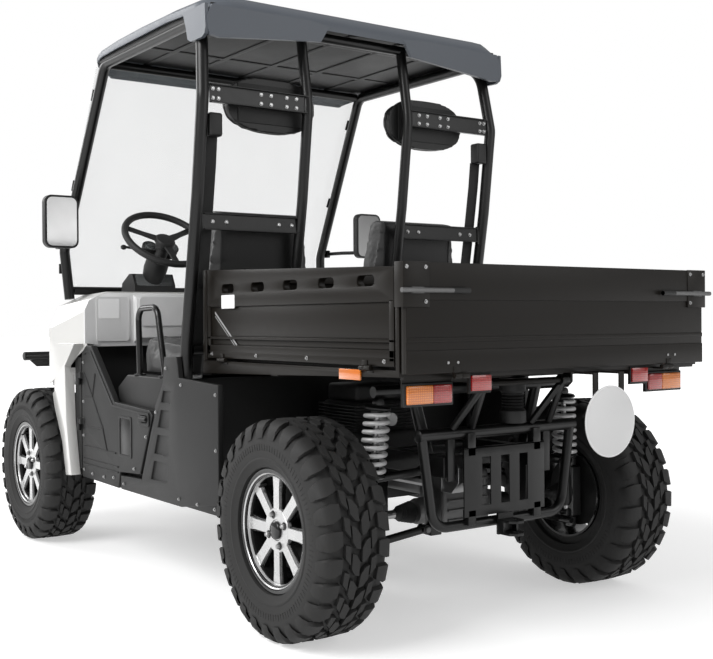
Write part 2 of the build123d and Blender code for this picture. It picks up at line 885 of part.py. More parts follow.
def flat_faced(sections):
    """A solid with flat faces between sections, whose matching edges run parallel."""
    rings = [[Vector(x, y, z) for y, z in outline] for x, outline in sections]
    faces = [Face(Wire.make_polygon(ring)) for ring in (rings[0], rings[-1])]
    for near, far in zip(rings, rings[1:]):
        for corner_a, corner_b, corner_c, corner_d in zip(near, near[1:] + near[:1], far[1:] + far[:1], far):
            faces.append(Face(Wire.make_polygon([corner_a, corner_b, corner_c, corner_d])))
    return Solid(Shell(faces))


def body_solid(inset, foot_drop, nose_inset):
    """The solid hull of the front body through its sections, shrunk by a wall if asked."""
    sections = []
    for x, crown_half, crown_z, shoulder_drop, side_drop, foot_z in body_sections:
        place = x - nose_inset if x == nose_x else x
        shoulder_half = crown_half + shoulder_drop / shoulder_slope
        side_half = shoulder_half + side_drop * side_slope
        side_z = crown_z - shoulder_drop - side_drop
        corners = (
            (crown_half - inset, crown_z - inset),
            (shoulder_half - inset, crown_z - shoulder_drop - inset),
            (side_half - inset, side_z - inset),
            (side_half - inset, foot_z - foot_drop),
        )
        sections.append((place, list(corners) + [(-y, z) for y, z in reversed(corners)]))
    return flat_faced(sections)


with BuildPart() as front_body:
    add(body_solid(0.0, 0.0, 0.0))
    for side in (-1, 1):
        outer = fender_tail_y[1] if side > 0 else -fender_tail_y[0]
        add(side_plate(fender_tail, outer, fender_tail_y[1] - fender_tail_y[0]))
    add(body_solid(body_wall, 40.0, body_wall), mode=Mode.SUBTRACT)
    add(block((470.0, 490.0), (-634.0, 634.0), (700.0, 980.0)), mode=Mode.SUBTRACT)
    add(block((nose_x - 40.0, nose_x + 10.0), (-grille_half, grille_half), grille_z), mode=Mode.SUBTRACT)
    for side in (-1, 1):
        span = sorted((side * lamp_y[0], side * lamp_y[1]))
        add(block((nose_x - 40.0, nose_x + 10.0), span, lamp_z), mode=Mode.SUBTRACT)
write(front_body.part, "front_body")

grille_bar = 10.0
grille_bars = 5
with BuildPart() as grille:
    with BuildSketch(Plane(origin=(nose_x - 14.0, 0, 0), x_dir=(0, 1, 0), z_dir=(1, 0, 0))):
        middle = (grille_z[0] + grille_z[1]) / 2
        height = grille_z[1] - grille_z[0] - 2 * fit_gap
        with Locations((0, middle)):
            Rectangle(2 * grille_half - 2 * fit_gap, height)
            with GridLocations(0, (height - grille_bar) / grille_bars, 1, grille_bars):
                Rectangle(
                    2 * grille_half - 26.0,
                    (height - grille_bar) / grille_bars - grille_bar,
                    mode=Mode.SUBTRACT,
                )
    extrude(amount=14.0)
    add(block((nose_x - 14.0, nose_x - 2.0), (-6.0, 6.0), (grille_z[0] + 4.0, grille_z[1] - 4.0)))
write(grille.part, "grille")

with BuildPart() as headlamps:
    for side in (-1, 1):
        span = sorted((side * (lamp_y[0] + fit_gap), side * (lamp_y[1] - fit_gap)))
        add(block((nose_x - 36.0, nose_x + 2.0), span, (lamp_z[0] + fit_gap, lamp_z[1] - fit_gap)))
write(headlamps.part, "headlamps")

bumper_x = 1455.0
bumper_z = 739.0
bumper_half = 553.0
bumper_radius = 20.0
rail_front_x = 1330.0
with BuildPart() as front_bumper:
    add(barrel((bumper_x, -bumper_half, bumper_z), (bumper_x, bumper_half, bumper_z), bumper_radius))
    for side in (-1, 1):
        add(barrel((bumper_x, side * 330.0, bumper_z), (1420.0, side * 240.0, 560.0), 16.0))
        add(barrel((1420.0, side * 240.0, 560.0), (1352.0, side * rail_y, 430.0), 16.0))
        add(
            block(
                (rail_front_x + fit_gap, 1356.0),
                (side * rail_y - rail_width / 2, side * rail_y + rail_width / 2),
                (400.0, 460.0),
            )
        )
        with BuildSketch(Plane(origin=(bumper_x - 3.0, 0, 0), x_dir=(0, 1, 0), z_dir=(1, 0, 0))):
            with BuildLine():
                Polyline(
                    (side * 300.0, bumper_z - 12.0),
                    (side * 540.0, bumper_z - 12.0),
                    (side * 500.0, 690.0),
                    (side * 312.0, 690.0),
                    close=True,
                )
            make_face()
        extrude(amount=6.0)
    add(barrel((1420.0, -240.0, 560.0), (1420.0, 240.0, 560.0), 16.0))
write(front_bumper.part, "front_bumper")

dash_x = 480.0
cubby_y = (-470.0, -190.0)
cubby_z = (840.0, 930.0)
cubby_depth = 80.0
with BuildPart() as dash_panel:
    with BuildSketch(Plane(origin=(dash_x - 10.0, 0, 0), x_dir=(0, 1, 0), z_dir=(1, 0, 0))):
        with BuildLine():
            Polyline((-612, 800), (612, 800), (612, 984), (556, 1008), (-556, 1008), (-612, 984), close=True)
        make_face()
    extrude(amount=10.0 - fit_gap)
    add(
        block(
            (dash_x - 5.0, dash_x + cubby_depth),
            (cubby_y[0] - 4.0, cubby_y[1] + 4.0),
            (cubby_z[0] - 4.0, cubby_z[1] + 4.0),
        ),
    )
    add(block((dash_x - 20.0, dash_x + cubby_depth - 4.0), cubby_y, cubby_z), mode=Mode.SUBTRACT)
    add(
        side_plate(
            ((dash_x - 10.0, 812.0), (dash_x - 44.0, 832.0), (dash_x - 40.0, 985.0), (dash_x - 10.0, 1000.0)),
            450.0,
            220.0,
        ),
    )
write(dash_panel.part, "dash_panel")

wheel_centre = (408.0, 340.0, 1219.0)
wheel_lean = 49.8
wheel_radius = 162.0
grip_radius = 14.0
column_axis = Vector(math.cos(math.radians(wheel_lean)), 0, -math.sin(math.radians(wheel_lean)))
shaft_radius = 8.0


def down_column(reach):
    """The point a given way down the steering column from the wheel's centre."""
    return tuple(Vector(*wheel_centre) + column_axis * reach)


with BuildPart() as steering_wheel:
    wheel_plane = Plane(origin=wheel_centre, x_dir=(0, 1, 0), z_dir=column_axis)
    with BuildSketch(wheel_plane):
        RegularPolygon(wheel_radius + grip_radius, 24)
        RegularPolygon(wheel_radius - grip_radius, 24, mode=Mode.SUBTRACT)
    extrude(amount=grip_radius, both=True)
    with BuildSketch(wheel_plane.offset(6.0)):
        RegularPolygon(42.0, tube_sides)
        with PolarLocations(0, 3, start_angle=-90):
            with Locations((wheel_radius / 2, 0)):
                Rectangle(wheel_radius, 26.0)
    extrude(amount=8.0)
    add(barrel(down_column(6.0), down_column(34.0), 32.0))
    add(barrel(down_column(34.0), down_column(70.0), shaft_radius))
write(steering_wheel.part, "steering_wheel")

pod_x = (505.0, 640.0)
crown_slope = (body_sections[0][2] - body_sections[1][2]) / (body_sections[1][0] - body_sections[0][0])
pod_low_z = [body_sections[0][2] - (x - body_sections[0][0]) * crown_slope + fit_gap for x in pod_x]
with BuildPart() as steering_column:
    add(barrel(down_column(34.0 + running_gap), down_column(235.0), 26.0))
    add(barrel(down_column(34.0), down_column(72.0), shaft_radius * corner + bore_play), mode=Mode.SUBTRACT)
    add(
        side_plate(
            (
                (pod_x[0], pod_low_z[0]),
                (pod_x[1], pod_low_z[1]),
                (pod_x[1] - 10.0, 1050.0),
                (560.0, 1088.0),
                (530.0, 1088.0),
                (pod_x[0], 1040.0),
            ),
            430.0,
            180.0,
        )
    )
    stalk = Vector(*down_column(62.0)) + Vector(0, 15, 0)
    add(barrel(tuple(stalk), tuple(stalk + Vector(-10.0, 150.0, 14.0)), 6.0))
write(steering_column.part, "steering_column")

with BuildPart() as pedals:
    for pedal_y, pedal_width, foot_z in ((430.0, 56.0, 420.0), (300.0, 76.0, 440.0)):
        add(
            block(
                (486.0, 494.0),
                (pedal_y - pedal_width / 2, pedal_y + pedal_width / 2),
                (foot_z, foot_z + 64.0),
            ),
        )
        add(barrel((490.0, pedal_y, foot_z + 50.0), (560.0, pedal_y, 620.0), 6.0))
        add(
            block(
                (552.0, toe_x - floor_thickness - fit_gap),
                (pedal_y - 14.0, pedal_y + 14.0),
                (606.0, 636.0),
            ),
        )
write(pedals.part, "pedals")

# ---------------------------------------------------------------- windshield, mirrors and roof
glass_thickness = 5.0
glass_gap = 8.0
glass_half = 612.0
pillar_foot, pillar_head = front_pillar[1], front_pillar[0]
pillar_run = Vector(pillar_foot[0] - pillar_head[0], 0, pillar_foot[1] - pillar_head[1]).normalized()
pillar_normal = Vector(-pillar_run.Z, 0, pillar_run.X)
glass_offset = cage_radius + glass_gap + glass_thickness / 2
glass_line = (
    # x, z of the sheet's middle from the top down
    (404.0 + pillar_normal.X * glass_offset, 1850.0 + pillar_normal.Z * glass_offset),
    (front_pillar[1][0] + glass_offset + 0.6, front_pillar[1][1] + glass_offset * 0.26),
    (front_pillar[2][0] + glass_offset + 0.6, front_pillar[2][1]),
    (front_pillar[2][0] + glass_offset - 9.0, 1040.0),
)
with BuildPart() as windshield:
    with BuildSketch(Plane.XZ.offset(-glass_half)):
        with BuildLine():
            Polyline(*glass_line)
        trace(line_width=glass_thickness)
    extrude(amount=2 * glass_half)
write(windshield.part, "windshield")

clamp_heights = (1755.0, 1425.0)
with BuildPart() as windshield_clamps:
    for clamp_z in clamp_heights:
        share = (front_pillar[0][1] - clamp_z) / (front_pillar[0][1] - front_pillar[1][1])
        clamp_x = front_pillar[0][0] + (front_pillar[1][0] - front_pillar[0][0]) * share
        clamp_y = pillar_top_y + (front_pillar_y - pillar_top_y) * share
        for side in (-1, 1):
            centre = Vector(clamp_x, side * clamp_y, clamp_z) + pillar_normal * (cage_radius + fit_gap + 0.4)
            with BuildSketch(Plane(origin=tuple(centre), x_dir=(0, 1, 0), z_dir=pillar_normal)):
                Rectangle(32.0, 44.0)
            extrude(amount=glass_gap - 2 * fit_gap - 0.4)
    for side in (-1, 1):
        pad_x = front_pillar[2][0] + cage_radius + 1.0
        add(block((pad_x, pad_x + glass_gap - 2.2), sorted((side * 606.0, side * 634.0)), (1092.0, 1132.0)))
write(windshield_clamps.part, "windshield_clamps")

mirror_x = 506.0
mirror_y = (655.0, 790.0)
mirror_z = (1177.0, 1380.0)
mirror_depth = 34.0
with BuildPart() as mirrors:
    with BuildSketch(Plane(origin=(mirror_x, 0, 0), x_dir=(0, 1, 0), z_dir=(1, 0, 0))) as face_outline:
        with Locations(((mirror_y[0] + mirror_y[1]) / 2, (mirror_z[0] + mirror_z[1]) / 2)):
            Rectangle(mirror_y[1] - mirror_y[0], mirror_z[1] - mirror_z[0])
        chamfer(face_outline.vertices(), 24.0)
    extrude(amount=mirror_depth)
    add(barrel((mirror_x + 20.0, 700.0, 1206.0), (640.0, 668.0, 1206.0), 8.0))
    add(barrel((640.0, 668.0, 1206.0), (742.0, 650.0, 1206.0), 8.0))
    add(block((728.0, 762.0), (front_pillar_y + cage_radius + 0.6, 660.0), (1188.0, 1224.0)))
    mirror(about=Plane.XZ)
write(mirrors.part, "mirrors")

roof_half = 625.0
roof_wall = 6.0
roof_outline = (
    # x, z
    (-492.0, 1822.0),
    (-486.0, 1900.0),
    (-440.0, 1938.0),
    (-205.0, 1949.0),
    (430.0, 1921.0),
    (464.0, 1892.0),
    (474.0, 1838.0),
)
roof_ceiling_z = front_pillar[0][1] + cage_radius + fit_gap
roof_deck_z = roof_ceiling_z + 8.0
with BuildPart() as roof:
    add(side_plate(roof_outline, roof_half, 2 * roof_half))
    top_edges = roof.edges().filter_by_position(Axis.Z, roof_ceiling_z, 1960.0)
    chamfer(top_edges.group_by(Axis.Y)[0] + top_edges.group_by(Axis.Y)[-1], 14.0)
    add(block((-410.0, 370.0), (-528.0, 528.0), (roof_deck_z, 1960.0)), mode=Mode.SUBTRACT)
    add(
        side_plate(
            (
                (-492.0 + roof_wall, 1800.0),
                (-486.0 + roof_wall, roof_ceiling_z),
                (462.0 - roof_wall, roof_ceiling_z),
                (474.0 - roof_wall, 1830.0),
                (474.0 - roof_wall, 1800.0),
            ),
            roof_half - roof_wall,
            2 * (roof_half - roof_wall),
        ),
        mode=Mode.SUBTRACT,
    )
    for side in (-1, 1):
        outer = roof_half if side > 0 else -roof_half + roof_wall
        add(
            side_plate(
                (
                    (-492.0, 1830.0),
                    (-492.0, 1800.0),
                    (-350.0, 1816.0),
                    (-335.0, 1830.0),
                    (-335.0, 1850.0),
                    (-480.0, 1850.0),
                ),
                outer,
                roof_wall,
            )
        )
write(roof.part, "roof")

post_x = (514.5, 575.0)
door_knuckle_z = (502.0, 678.0)
knuckle_radius = 7.0
pin_radius = 3.5
knuckle_length = 24.0
pin_bore = pin_radius * corner + bore_play
with BuildPart() as door_posts:
    add(block(post_x, (622.0, fender_tail_y[0] - fit_gap), (330.3, 758.0)))
    for low in door_knuckle_z:
        add(
            barrel(
                (door_hinge_x, door_hinge_y, low - knuckle_length),
                (door_hinge_x, door_hinge_y, low),
                knuckle_radius,
            ),
        )
        add(
            barrel(
                (door_hinge_x, door_hinge_y, low - 10.0),
                (door_hinge_x, door_hinge_y, low + knuckle_length),
                pin_radius,
            ),
        )
        add(block((517.0, 527.0), (648.0, 664.0), (low - knuckle_length, low)))
    mirror(about=Plane.XZ)
write(door_posts.part, "door_posts")

door_outline = (
    # x, z
    (506.0, 300.0),
    (506.0, 776.0),
    (464.0, 805.0),
    (412.0, 805.0),
    (195.0, 604.0),
    (-107.0, 592.0),
    (-128.0, 576.0),
    (-25.0, 366.0),
    (146.0, 356.0),
    (162.0, 296.0),
)
door_skin = 6.0
door_rim = 10.0
with BuildPart() as door_left:
    add(side_plate(door_outline, door_outer_y, door_outer_y - 626.0))
    with BuildSketch(Plane.XZ.offset(-door_outer_y + door_skin)):
        with BuildLine():
            Polyline(*door_outline, close=True)
        make_face()
        offset(amount=-door_rim, kind=Kind.INTERSECTION)
    extrude(amount=30.0, mode=Mode.SUBTRACT)
    for low in door_knuckle_z:
        add(block((490.0, 507.0), (644.5, 664.0), (low + fit_gap, low + knuckle_length)))
        add(
            barrel(
                (door_hinge_x, door_hinge_y, low + fit_gap),
                (door_hinge_x, door_hinge_y, low + knuckle_length),
                knuckle_radius,
            )
        )
        add(
            barrel(
                (door_hinge_x, door_hinge_y, low - 1.0),
                (door_hinge_x, door_hinge_y, low + knuckle_length + 1.0),
                pin_bore,
            ),
            mode=Mode.SUBTRACT,
        )
    add(block((-98.0, -40.0), (door_outer_y - 1.0, door_outer_y + 12.0), (552.0, 572.0)))
write(door_left.part, "door_left")
with BuildPart() as door_right:
    mirror(door_left.part, about=Plane.XZ)
write(door_right.part, "door_right")

# ---------------------------------------------------------------- cargo bed
bed_side_x = (-1381.0, -389.0)
side_hinge_y = bed_half_width + 8.0
side_hinge_z = 772.0
side_hinge_x = (-500.0, -1270.0)
skirt_top_z = 768.0
gate_x = (bed_rear_x, -1407.5)
gate_half = bed_half_width - 2.0
gate_z = (760.0, 1038.0)
gate_hinge_x = -1434.0
gate_hinge_z = 752.0
gate_hinge_y = 400.0
post_rear_x = (-1402.0, -1387.0)
headboard_x = (-399.0, -383.0, -379.0)
pad_z = 723.0


def bed_top(x):
    """The height of the bed's top edge at a place along it."""
    share = (bed_front_x - x) / (bed_front_x - bed_rear_x)
    return bed_top_front_z + (bed_top_rear_z - bed_top_front_z) * share


with BuildPart() as bed_floor:
    add(block((post_rear_x[0], headboard_x[1]), (-bed_half_width, bed_half_width), (755.0, skirt_top_z)))
    deck_half = bed_half_width - 28.0
    deck_x = (post_rear_x[0], headboard_x[0] - fit_gap)
    add(block(deck_x, (-deck_half, deck_half), (skirt_top_z - 1.0, bed_deck_z)))
    for side in (-1, 1):
        outer = bed_half_width if side > 0 else -bed_half_width + 14.0
        add(
            side_plate(
                (
                    (bed_front_x, bed_low_front_z),
                    (bed_front_x, skirt_top_z),
                    (post_rear_x[0], skirt_top_z),
                    (post_rear_x[0], bed_low_rear_z),
                ),
                outer,
                14.0,
            )
        )
        span = sorted((side * (bed_half_width - wall_thickness), side * bed_half_width))
        add(block(post_rear_x, span, (skirt_top_z - 2.0, bed_top(post_rear_x[1]))))
        channel = sorted((side * 300.0, side * 340.0))
        add(block((post_rear_x[0], headboard_x[1]), channel, (730.0, 756.0)))
        for hinge_x in side_hinge_x:
            axis = [
                (hinge_x - d, side * side_hinge_y, side_hinge_z)
                for d in (knuckle_length, 0.0, 10.0, -knuckle_length)
            ]
            add(barrel(axis[0], axis[1], knuckle_radius))
            add(barrel(axis[2], axis[3], pin_radius))
            leaf = sorted((side * (bed_half_width - 2.0), side * (bed_half_width + 3.0)))
            add(block((hinge_x - knuckle_length, hinge_x), leaf, (760.0, 769.5)))
        axis = [
            (gate_hinge_x, side * (gate_hinge_y + d), gate_hinge_z)
            for d in (-knuckle_length, 0.0, -10.0, knuckle_length)
        ]
        add(barrel(axis[0], axis[1], knuckle_radius))
        add(barrel(axis[2], axis[3], pin_radius))
        leaf = sorted((side * (gate_hinge_y - knuckle_length), side * gate_hinge_y))
        add(block((gate_hinge_x, post_rear_x[0] + 2.0), leaf, (745.0, 748.2)))
        lug = sorted(
            (side * (bed_pivot_y + pivot_length / 2 + 2.0), side * (bed_pivot_y + pivot_length / 2 + 10.0)),
        )
        add(block((bed_hinge_x - pivot_radius, bed_hinge_x + pivot_radius), lug, (bed_hinge_z, 756.0)))
        add(barrel((bed_hinge_x, lug[0], bed_hinge_z), (bed_hinge_x, lug[1], bed_hinge_z), pivot_radius))
        lamp_plate = sorted((side * 376.0, side * 540.0))
        add(block((-1368.0, -1363.0), lamp_plate, (674.0, 756.0)))
        reflector_plate = sorted((side * 270.0, side * 350.0))
        add(block((-1402.0, -1397.0), reflector_plate, (702.0, 756.0)))
    pin_half = bed_pivot_y + pivot_length / 2 + 10.0
    add(barrel((bed_hinge_x, -pin_half, bed_hinge_z), (bed_hinge_x, pin_half, bed_hinge_z), pivot_pin_radius))
    add(block((post_rear_x[0], -1388.0), (-bed_half_width + 14.0, bed_half_width - 14.0), (745.0, 756.0)))
    for rib_x in (-420.0, -780.0):
        add(
            block(
                (rib_x - 20.0, rib_x + 20.0),
                (-bed_half_width + 14.0, bed_half_width - 14.0),
                (732.0, 756.0),
            ),
        )
    add(block((guard_x - 25.0, guard_x + 25.0), (-340.0, 340.0), (pad_z, 756.0)))
    for strap_y in (-55.0, -160.0):
        add(block((-1470.7, -1466.0), (strap_y - 10.0, strap_y + 10.0), (600.0, 745.0)))
        add(block((-1470.7, -1397.0), (strap_y - 10.0, strap_y + 10.0), (740.5, 745.5)))
write(bed_floor.part, "bed_floor")

with BuildPart() as headboard:
    foot_z = skirt_top_z + fit_gap
    add(block(headboard_x[1:], (-bed_half_width, bed_half_width), (foot_z, bed_top_front_z)))
    add(block(headboard_x[:2], (-deck_half, deck_half), (foot_z, bed_top_front_z)))
    for side in (-1, 1):
        span = sorted((side * (bed_half_width - wall_thickness), side * bed_half_width))
        add(block((headboard_x[1], bed_front_x), span, (foot_z, bed_top_front_z)))
        pocket = sorted((side * 30.0, side * 520.0))
        add(block((headboard_x[0], headboard_x[1] - 4.0), pocket, (812.0, 1020.0)), mode=Mode.SUBTRACT)
write(headboard.part, "headboard")

slot_count = 5
slot_mid_z = 996.0
with BuildPart() as bed_side_left:
    add(
        side_plate(
            (
                (bed_side_x[1], 778.0),
                (bed_side_x[1], bed_top(bed_side_x[1])),
                (bed_side_x[0], bed_top(bed_side_x[0])),
                (bed_side_x[0], 778.0),
            ),
            bed_half_width,
            wall_thickness,
        )
    )
    inner_face = bed_half_width - wall_thickness
    long_x = (bed_side_x[0] + 20.0, bed_side_x[1] - 20.0)
    add(block(long_x, (inner_face, inner_face + 12.0), (800.0, 940.0)), mode=Mode.SUBTRACT)
    add(block(long_x, (bed_half_width - 6.0, bed_half_width), (845.0, 940.0)), mode=Mode.SUBTRACT)
    add(block(long_x, (bed_half_width - 8.0, bed_half_width), (819.0, 838.0)), mode=Mode.SUBTRACT)
    for index in range(slot_count):
        middle = slot_first_x - index * slot_pitch
        add(
            block(
                (middle - slot_length / 2, middle + slot_length / 2),
                (inner_face - 1.0, bed_half_width + 1.0),
                (slot_mid_z - slot_height / 2, slot_mid_z + slot_height / 2),
            ),
            mode=Mode.SUBTRACT,
        )
    for hinge_x in side_hinge_x:
        leaf = (bed_half_width - 1.0, bed_half_width + 3.0)
        add(block((hinge_x + fit_gap, hinge_x + knuckle_length), leaf, (774.5, 792.0)))
        axis = [
            (hinge_x + d, side_hinge_y, side_hinge_z)
            for d in (fit_gap, knuckle_length, -1.0, knuckle_length + 1.0)
        ]
        add(barrel(axis[0], axis[1], knuckle_radius))
        add(barrel(axis[2], axis[3], pin_bore), mode=Mode.SUBTRACT)
write(bed_side_left.part, "bed_side_left")
with BuildPart() as bed_side_right:
    mirror(bed_side_left.part, about=Plane.XZ)
write(bed_side_right.part, "bed_side_right")

cap_z = (925.0, 1040.0)
lever_z = 968.0
lever_y = (bed_half_width - 200.0, bed_half_width + 22.0)
lever_foot_y = (bed_half_width - 54.0, bed_half_width - 14.0)
gate_pocket_half = bed_half_width - 44.0
with BuildPart() as tailgate:
    add(block(gate_x, (-gate_half, gate_half), gate_z))
    for side in (-1, 1):
        pocket = sorted((side * 40.0, side * gate_pocket_half))
        add(block((gate_x[0] + 5.0, gate_x[1]), pocket, (800.0, 1010.0)), mode=Mode.SUBTRACT)
        add(
            block(
                (bed_rear_x - 4.0, bed_rear_x),
                sorted((side * (bed_half_width - 75.0), side * (bed_half_width + 9.5))),
                cap_z,
            ),
        )
        add(
            block(
                (bed_rear_x - 4.0, post_rear_x[0] + 8.0),
                sorted((side * (bed_half_width + 5.5), side * (bed_half_width + 9.5))),
                cap_z,
            ),
        )
        add(barrel((-1440.0, side * lever_y[0], lever_z), (-1440.0, side * lever_y[1], lever_z), 7.0))
        lever_foot = sorted((side * lever_foot_y[0], side * lever_foot_y[1]))
        add(block((-1440.0, bed_rear_x - 3.0), lever_foot, (lever_z - 6.0, lever_z + 6.0)))
        knuckle = (side * (gate_hinge_y + fit_gap), side * (gate_hinge_y + knuckle_length))
        add(block((-1432.0, -1424.0), sorted(knuckle), (756.3, 772.0)))
        axis = [(gate_hinge_x, y, gate_hinge_z) for y in knuckle]
        add(barrel(axis[0], axis[1], knuckle_radius))
        bore = [(gate_hinge_x, side * (gate_hinge_y + d), gate_hinge_z) for d in (-1.0, knuckle_length + 1.0)]
        add(barrel(bore[0], bore[1], pin_bore), mode=Mode.SUBTRACT)
write(tailgate.part, "tailgate")

with BuildPart() as tail_lamps:
    for side in (-1, 1):
        span = sorted((side * 382.0, side * 534.0))
        add(block((-1381.0, -1368.0 - fit_gap), span, (678.0, 730.0)))
write(tail_lamps.part, "tail_lamps")

with BuildPart() as reflectors:
    for side in (-1, 1):
        span = sorted((side * 275.0, side * 344.0))
        add(block((-1411.0, -1402.0 - fit_gap), span, (708.0, 751.0)))
        side_span = sorted((side * (bed_half_width + fit_gap), side * (bed_half_width + 7.0)))
        add(block((-1330.0, -1262.0), side_span, (738.0, 757.0)))
write(reflectors.part, "reflectors")

disc_radius = 100.0
with BuildPart() as speed_disc:
    with BuildSketch(Plane(origin=(-1475.0, -109.0, 609.0), x_dir=(0, 1, 0), z_dir=(1, 0, 0))):
        RegularPolygon(disc_radius, 36)
    extrude(amount=4.0)
write(speed_disc.part, "speed_disc")

with BuildPart() as bed_buffers:
    foot_z = guard_tube_z + guard_tube_radius + fit_gap
    for low, high, radius in (
        (foot_z, foot_z + 40.0, 40.0),
        (foot_z + 40.0, foot_z + 90.0, 34.0),
        (foot_z + 90.0, pad_z - fit_gap, 40.0),
    ):
        add(barrel((guard_x, -55.0, low), (guard_x, -55.0, high), radius))
write(bed_buffers.part, "bed_buffers")
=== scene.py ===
import json
import math

import bmesh
import bpy
from mathutils import Matrix, Vector
from mathutils.bvhtree import BVHTree


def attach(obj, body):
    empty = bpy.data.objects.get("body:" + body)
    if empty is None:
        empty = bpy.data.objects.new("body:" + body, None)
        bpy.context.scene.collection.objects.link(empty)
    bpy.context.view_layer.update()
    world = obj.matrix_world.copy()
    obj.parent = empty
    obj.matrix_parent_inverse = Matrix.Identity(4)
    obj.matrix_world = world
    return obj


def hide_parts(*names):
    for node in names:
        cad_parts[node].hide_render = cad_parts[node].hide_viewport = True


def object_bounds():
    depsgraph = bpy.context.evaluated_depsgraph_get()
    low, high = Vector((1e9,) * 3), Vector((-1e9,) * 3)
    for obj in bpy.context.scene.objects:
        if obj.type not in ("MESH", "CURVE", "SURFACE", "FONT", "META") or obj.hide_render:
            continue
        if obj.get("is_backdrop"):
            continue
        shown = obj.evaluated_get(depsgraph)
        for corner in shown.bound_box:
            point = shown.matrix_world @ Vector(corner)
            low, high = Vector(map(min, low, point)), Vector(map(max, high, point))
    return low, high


# Side-by-side utility vehicle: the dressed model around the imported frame.
# Shapes are written in millimetres and brought to metres as each piece is made.

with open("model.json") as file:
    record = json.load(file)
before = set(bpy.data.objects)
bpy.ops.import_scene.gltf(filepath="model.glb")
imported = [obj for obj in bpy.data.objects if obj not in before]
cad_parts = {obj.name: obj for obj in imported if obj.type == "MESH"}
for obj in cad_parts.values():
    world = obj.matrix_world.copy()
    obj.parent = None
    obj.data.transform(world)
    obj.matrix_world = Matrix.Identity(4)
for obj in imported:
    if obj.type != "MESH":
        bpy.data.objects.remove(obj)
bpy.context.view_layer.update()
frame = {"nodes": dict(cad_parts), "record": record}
MM = 0.001
SCENE = bpy.context.scene
ACROSS = ((0, 1, 0), (0, 0, 1))  # a plane across the vehicle, facing forwards
ALONG = ((1, 0, 0), (0, 0, 1))  # a plane along the vehicle, facing its right side
BODY_OF = {
    node: body for body, nodes in frame["record"]["behaviour"]["bodies"].items() for node in nodes
}


# ---------------------------------------------------------------- finishes
class Value:
    """A socket of a finish's node tree; sums on it add their own Math nodes."""

    def __init__(self, finish, socket):
        self.finish = finish
        self.socket = socket

    def math(self, operation, *terms):
        node = self.finish.tree.nodes.new("ShaderNodeMath")
        node.operation = operation
        for place, term in enumerate(terms):
            self.finish.feed(node.inputs[place], term)
        return Value(self.finish, node.outputs[0])

    def __add__(self, other):
        return self.math("ADD", self, other)

    __radd__ = __add__

    def __sub__(self, other):
        return self.math("SUBTRACT", self, other)

    def __rsub__(self, other):
        return self.math("SUBTRACT", other, self)

    def __mul__(self, other):
        return self.math("MULTIPLY", self, other)

    __rmul__ = __mul__

    def most(self, other):
        return self.math("MAXIMUM", self, other)

    def least(self, other):
        return self.math("MINIMUM", self, other)

    def root(self):
        return self.math("SQRT", self)

    def wave(self, pitch):
        """A smooth wave between 0 and 1 along this value, one crest per pitch."""
        return self.math("SINE", self * (2 * math.pi / pitch)) * 0.5 + 0.5


class Finish:
    """A material under construction."""

    def __init__(self, name):
        self.material = bpy.data.materials.new(name)
        self.material.use_nodes = True
        self.tree = self.material.node_tree
        self.shader = self.tree.nodes["Principled BSDF"]
        self.place = self.node("ShaderNodeTexCoord", outlet="Object")

    def feed(self, socket, value):
        if isinstance(value, Value):
            self.tree.links.new(value.socket, socket)
        else:
            socket.default_value = value

    def node(self, kind, settings=None, sockets=None, outlet=0):
        """A node with its settings, then the values or links of its sockets."""
        node = self.tree.nodes.new(kind)
        for key, value in (settings or {}).items():
            setattr(node, key, value)
        for key, value in (sockets or {}).items():
            self.feed(node.inputs[key], value)
        return Value(self, node.outputs[outlet])

    def noise(self, scale, detail=3.0, roughness=0.5):
        sockets = {"Vector": self.place, "Scale": scale, "Detail": detail, "Roughness": roughness}
        return self.node("ShaderNodeTexNoise", None, sockets)

    def cells(self, scale):
        return self.node("ShaderNodeTexVoronoi", None, {"Vector": self.place, "Scale": scale}, "Distance")

    def mix(self, factor, first, second):
        settings = {"data_type": "RGBA"}
        return self.node("ShaderNodeMix", settings, {"Factor": factor, 6: first, 7: second}, 2)

    def axis(self, name):
        return self.node("ShaderNodeSeparateXYZ", None, {"Vector": self.place}, name)

    def bump(self, height, strength, depth):
        sockets = {"Height": height, "Strength": strength, "Distance": depth}
        return self.node("ShaderNodeBump", None, sockets)

    def done(self, **sockets):
        for key, value in sockets.items():
            self.feed(self.shader.inputs[key.replace("_", " ")], value)
        return self.material


def grey(level, warm=0.0):
    """A colour of one level, with a little more red than blue if it is warm."""
    return (level * (1 + warm), level, level * (1 - warm), 1.0)


def coated(
    name, colour, dark, roughness, grain, depth, metallic=0.0, coat=0.0, spread=0.12, sheen=0.5
):
    """A painted or moulded surface: cloudy tone, uneven gloss and a fine grain."""
    finish = Finish(name)
    cloud = finish.noise(6.0, 4.0, 0.6)
    speck = finish.noise(grain, 2.0)
    smear = finish.noise(38.0, 5.0, 0.65)
    tone = finish.mix(cloud * 0.7 + speck * 0.3, colour, dark)
    normal = finish.bump(speck, 0.35, depth)
    gloss = roughness - spread / 2 + smear * spread
    finish.shader.inputs["Specular IOR Level"].default_value = sheen
    return finish.done(
        Base_Color=tone, Roughness=gloss, Metallic=metallic, Coat_Weight=coat, Normal=normal
    )


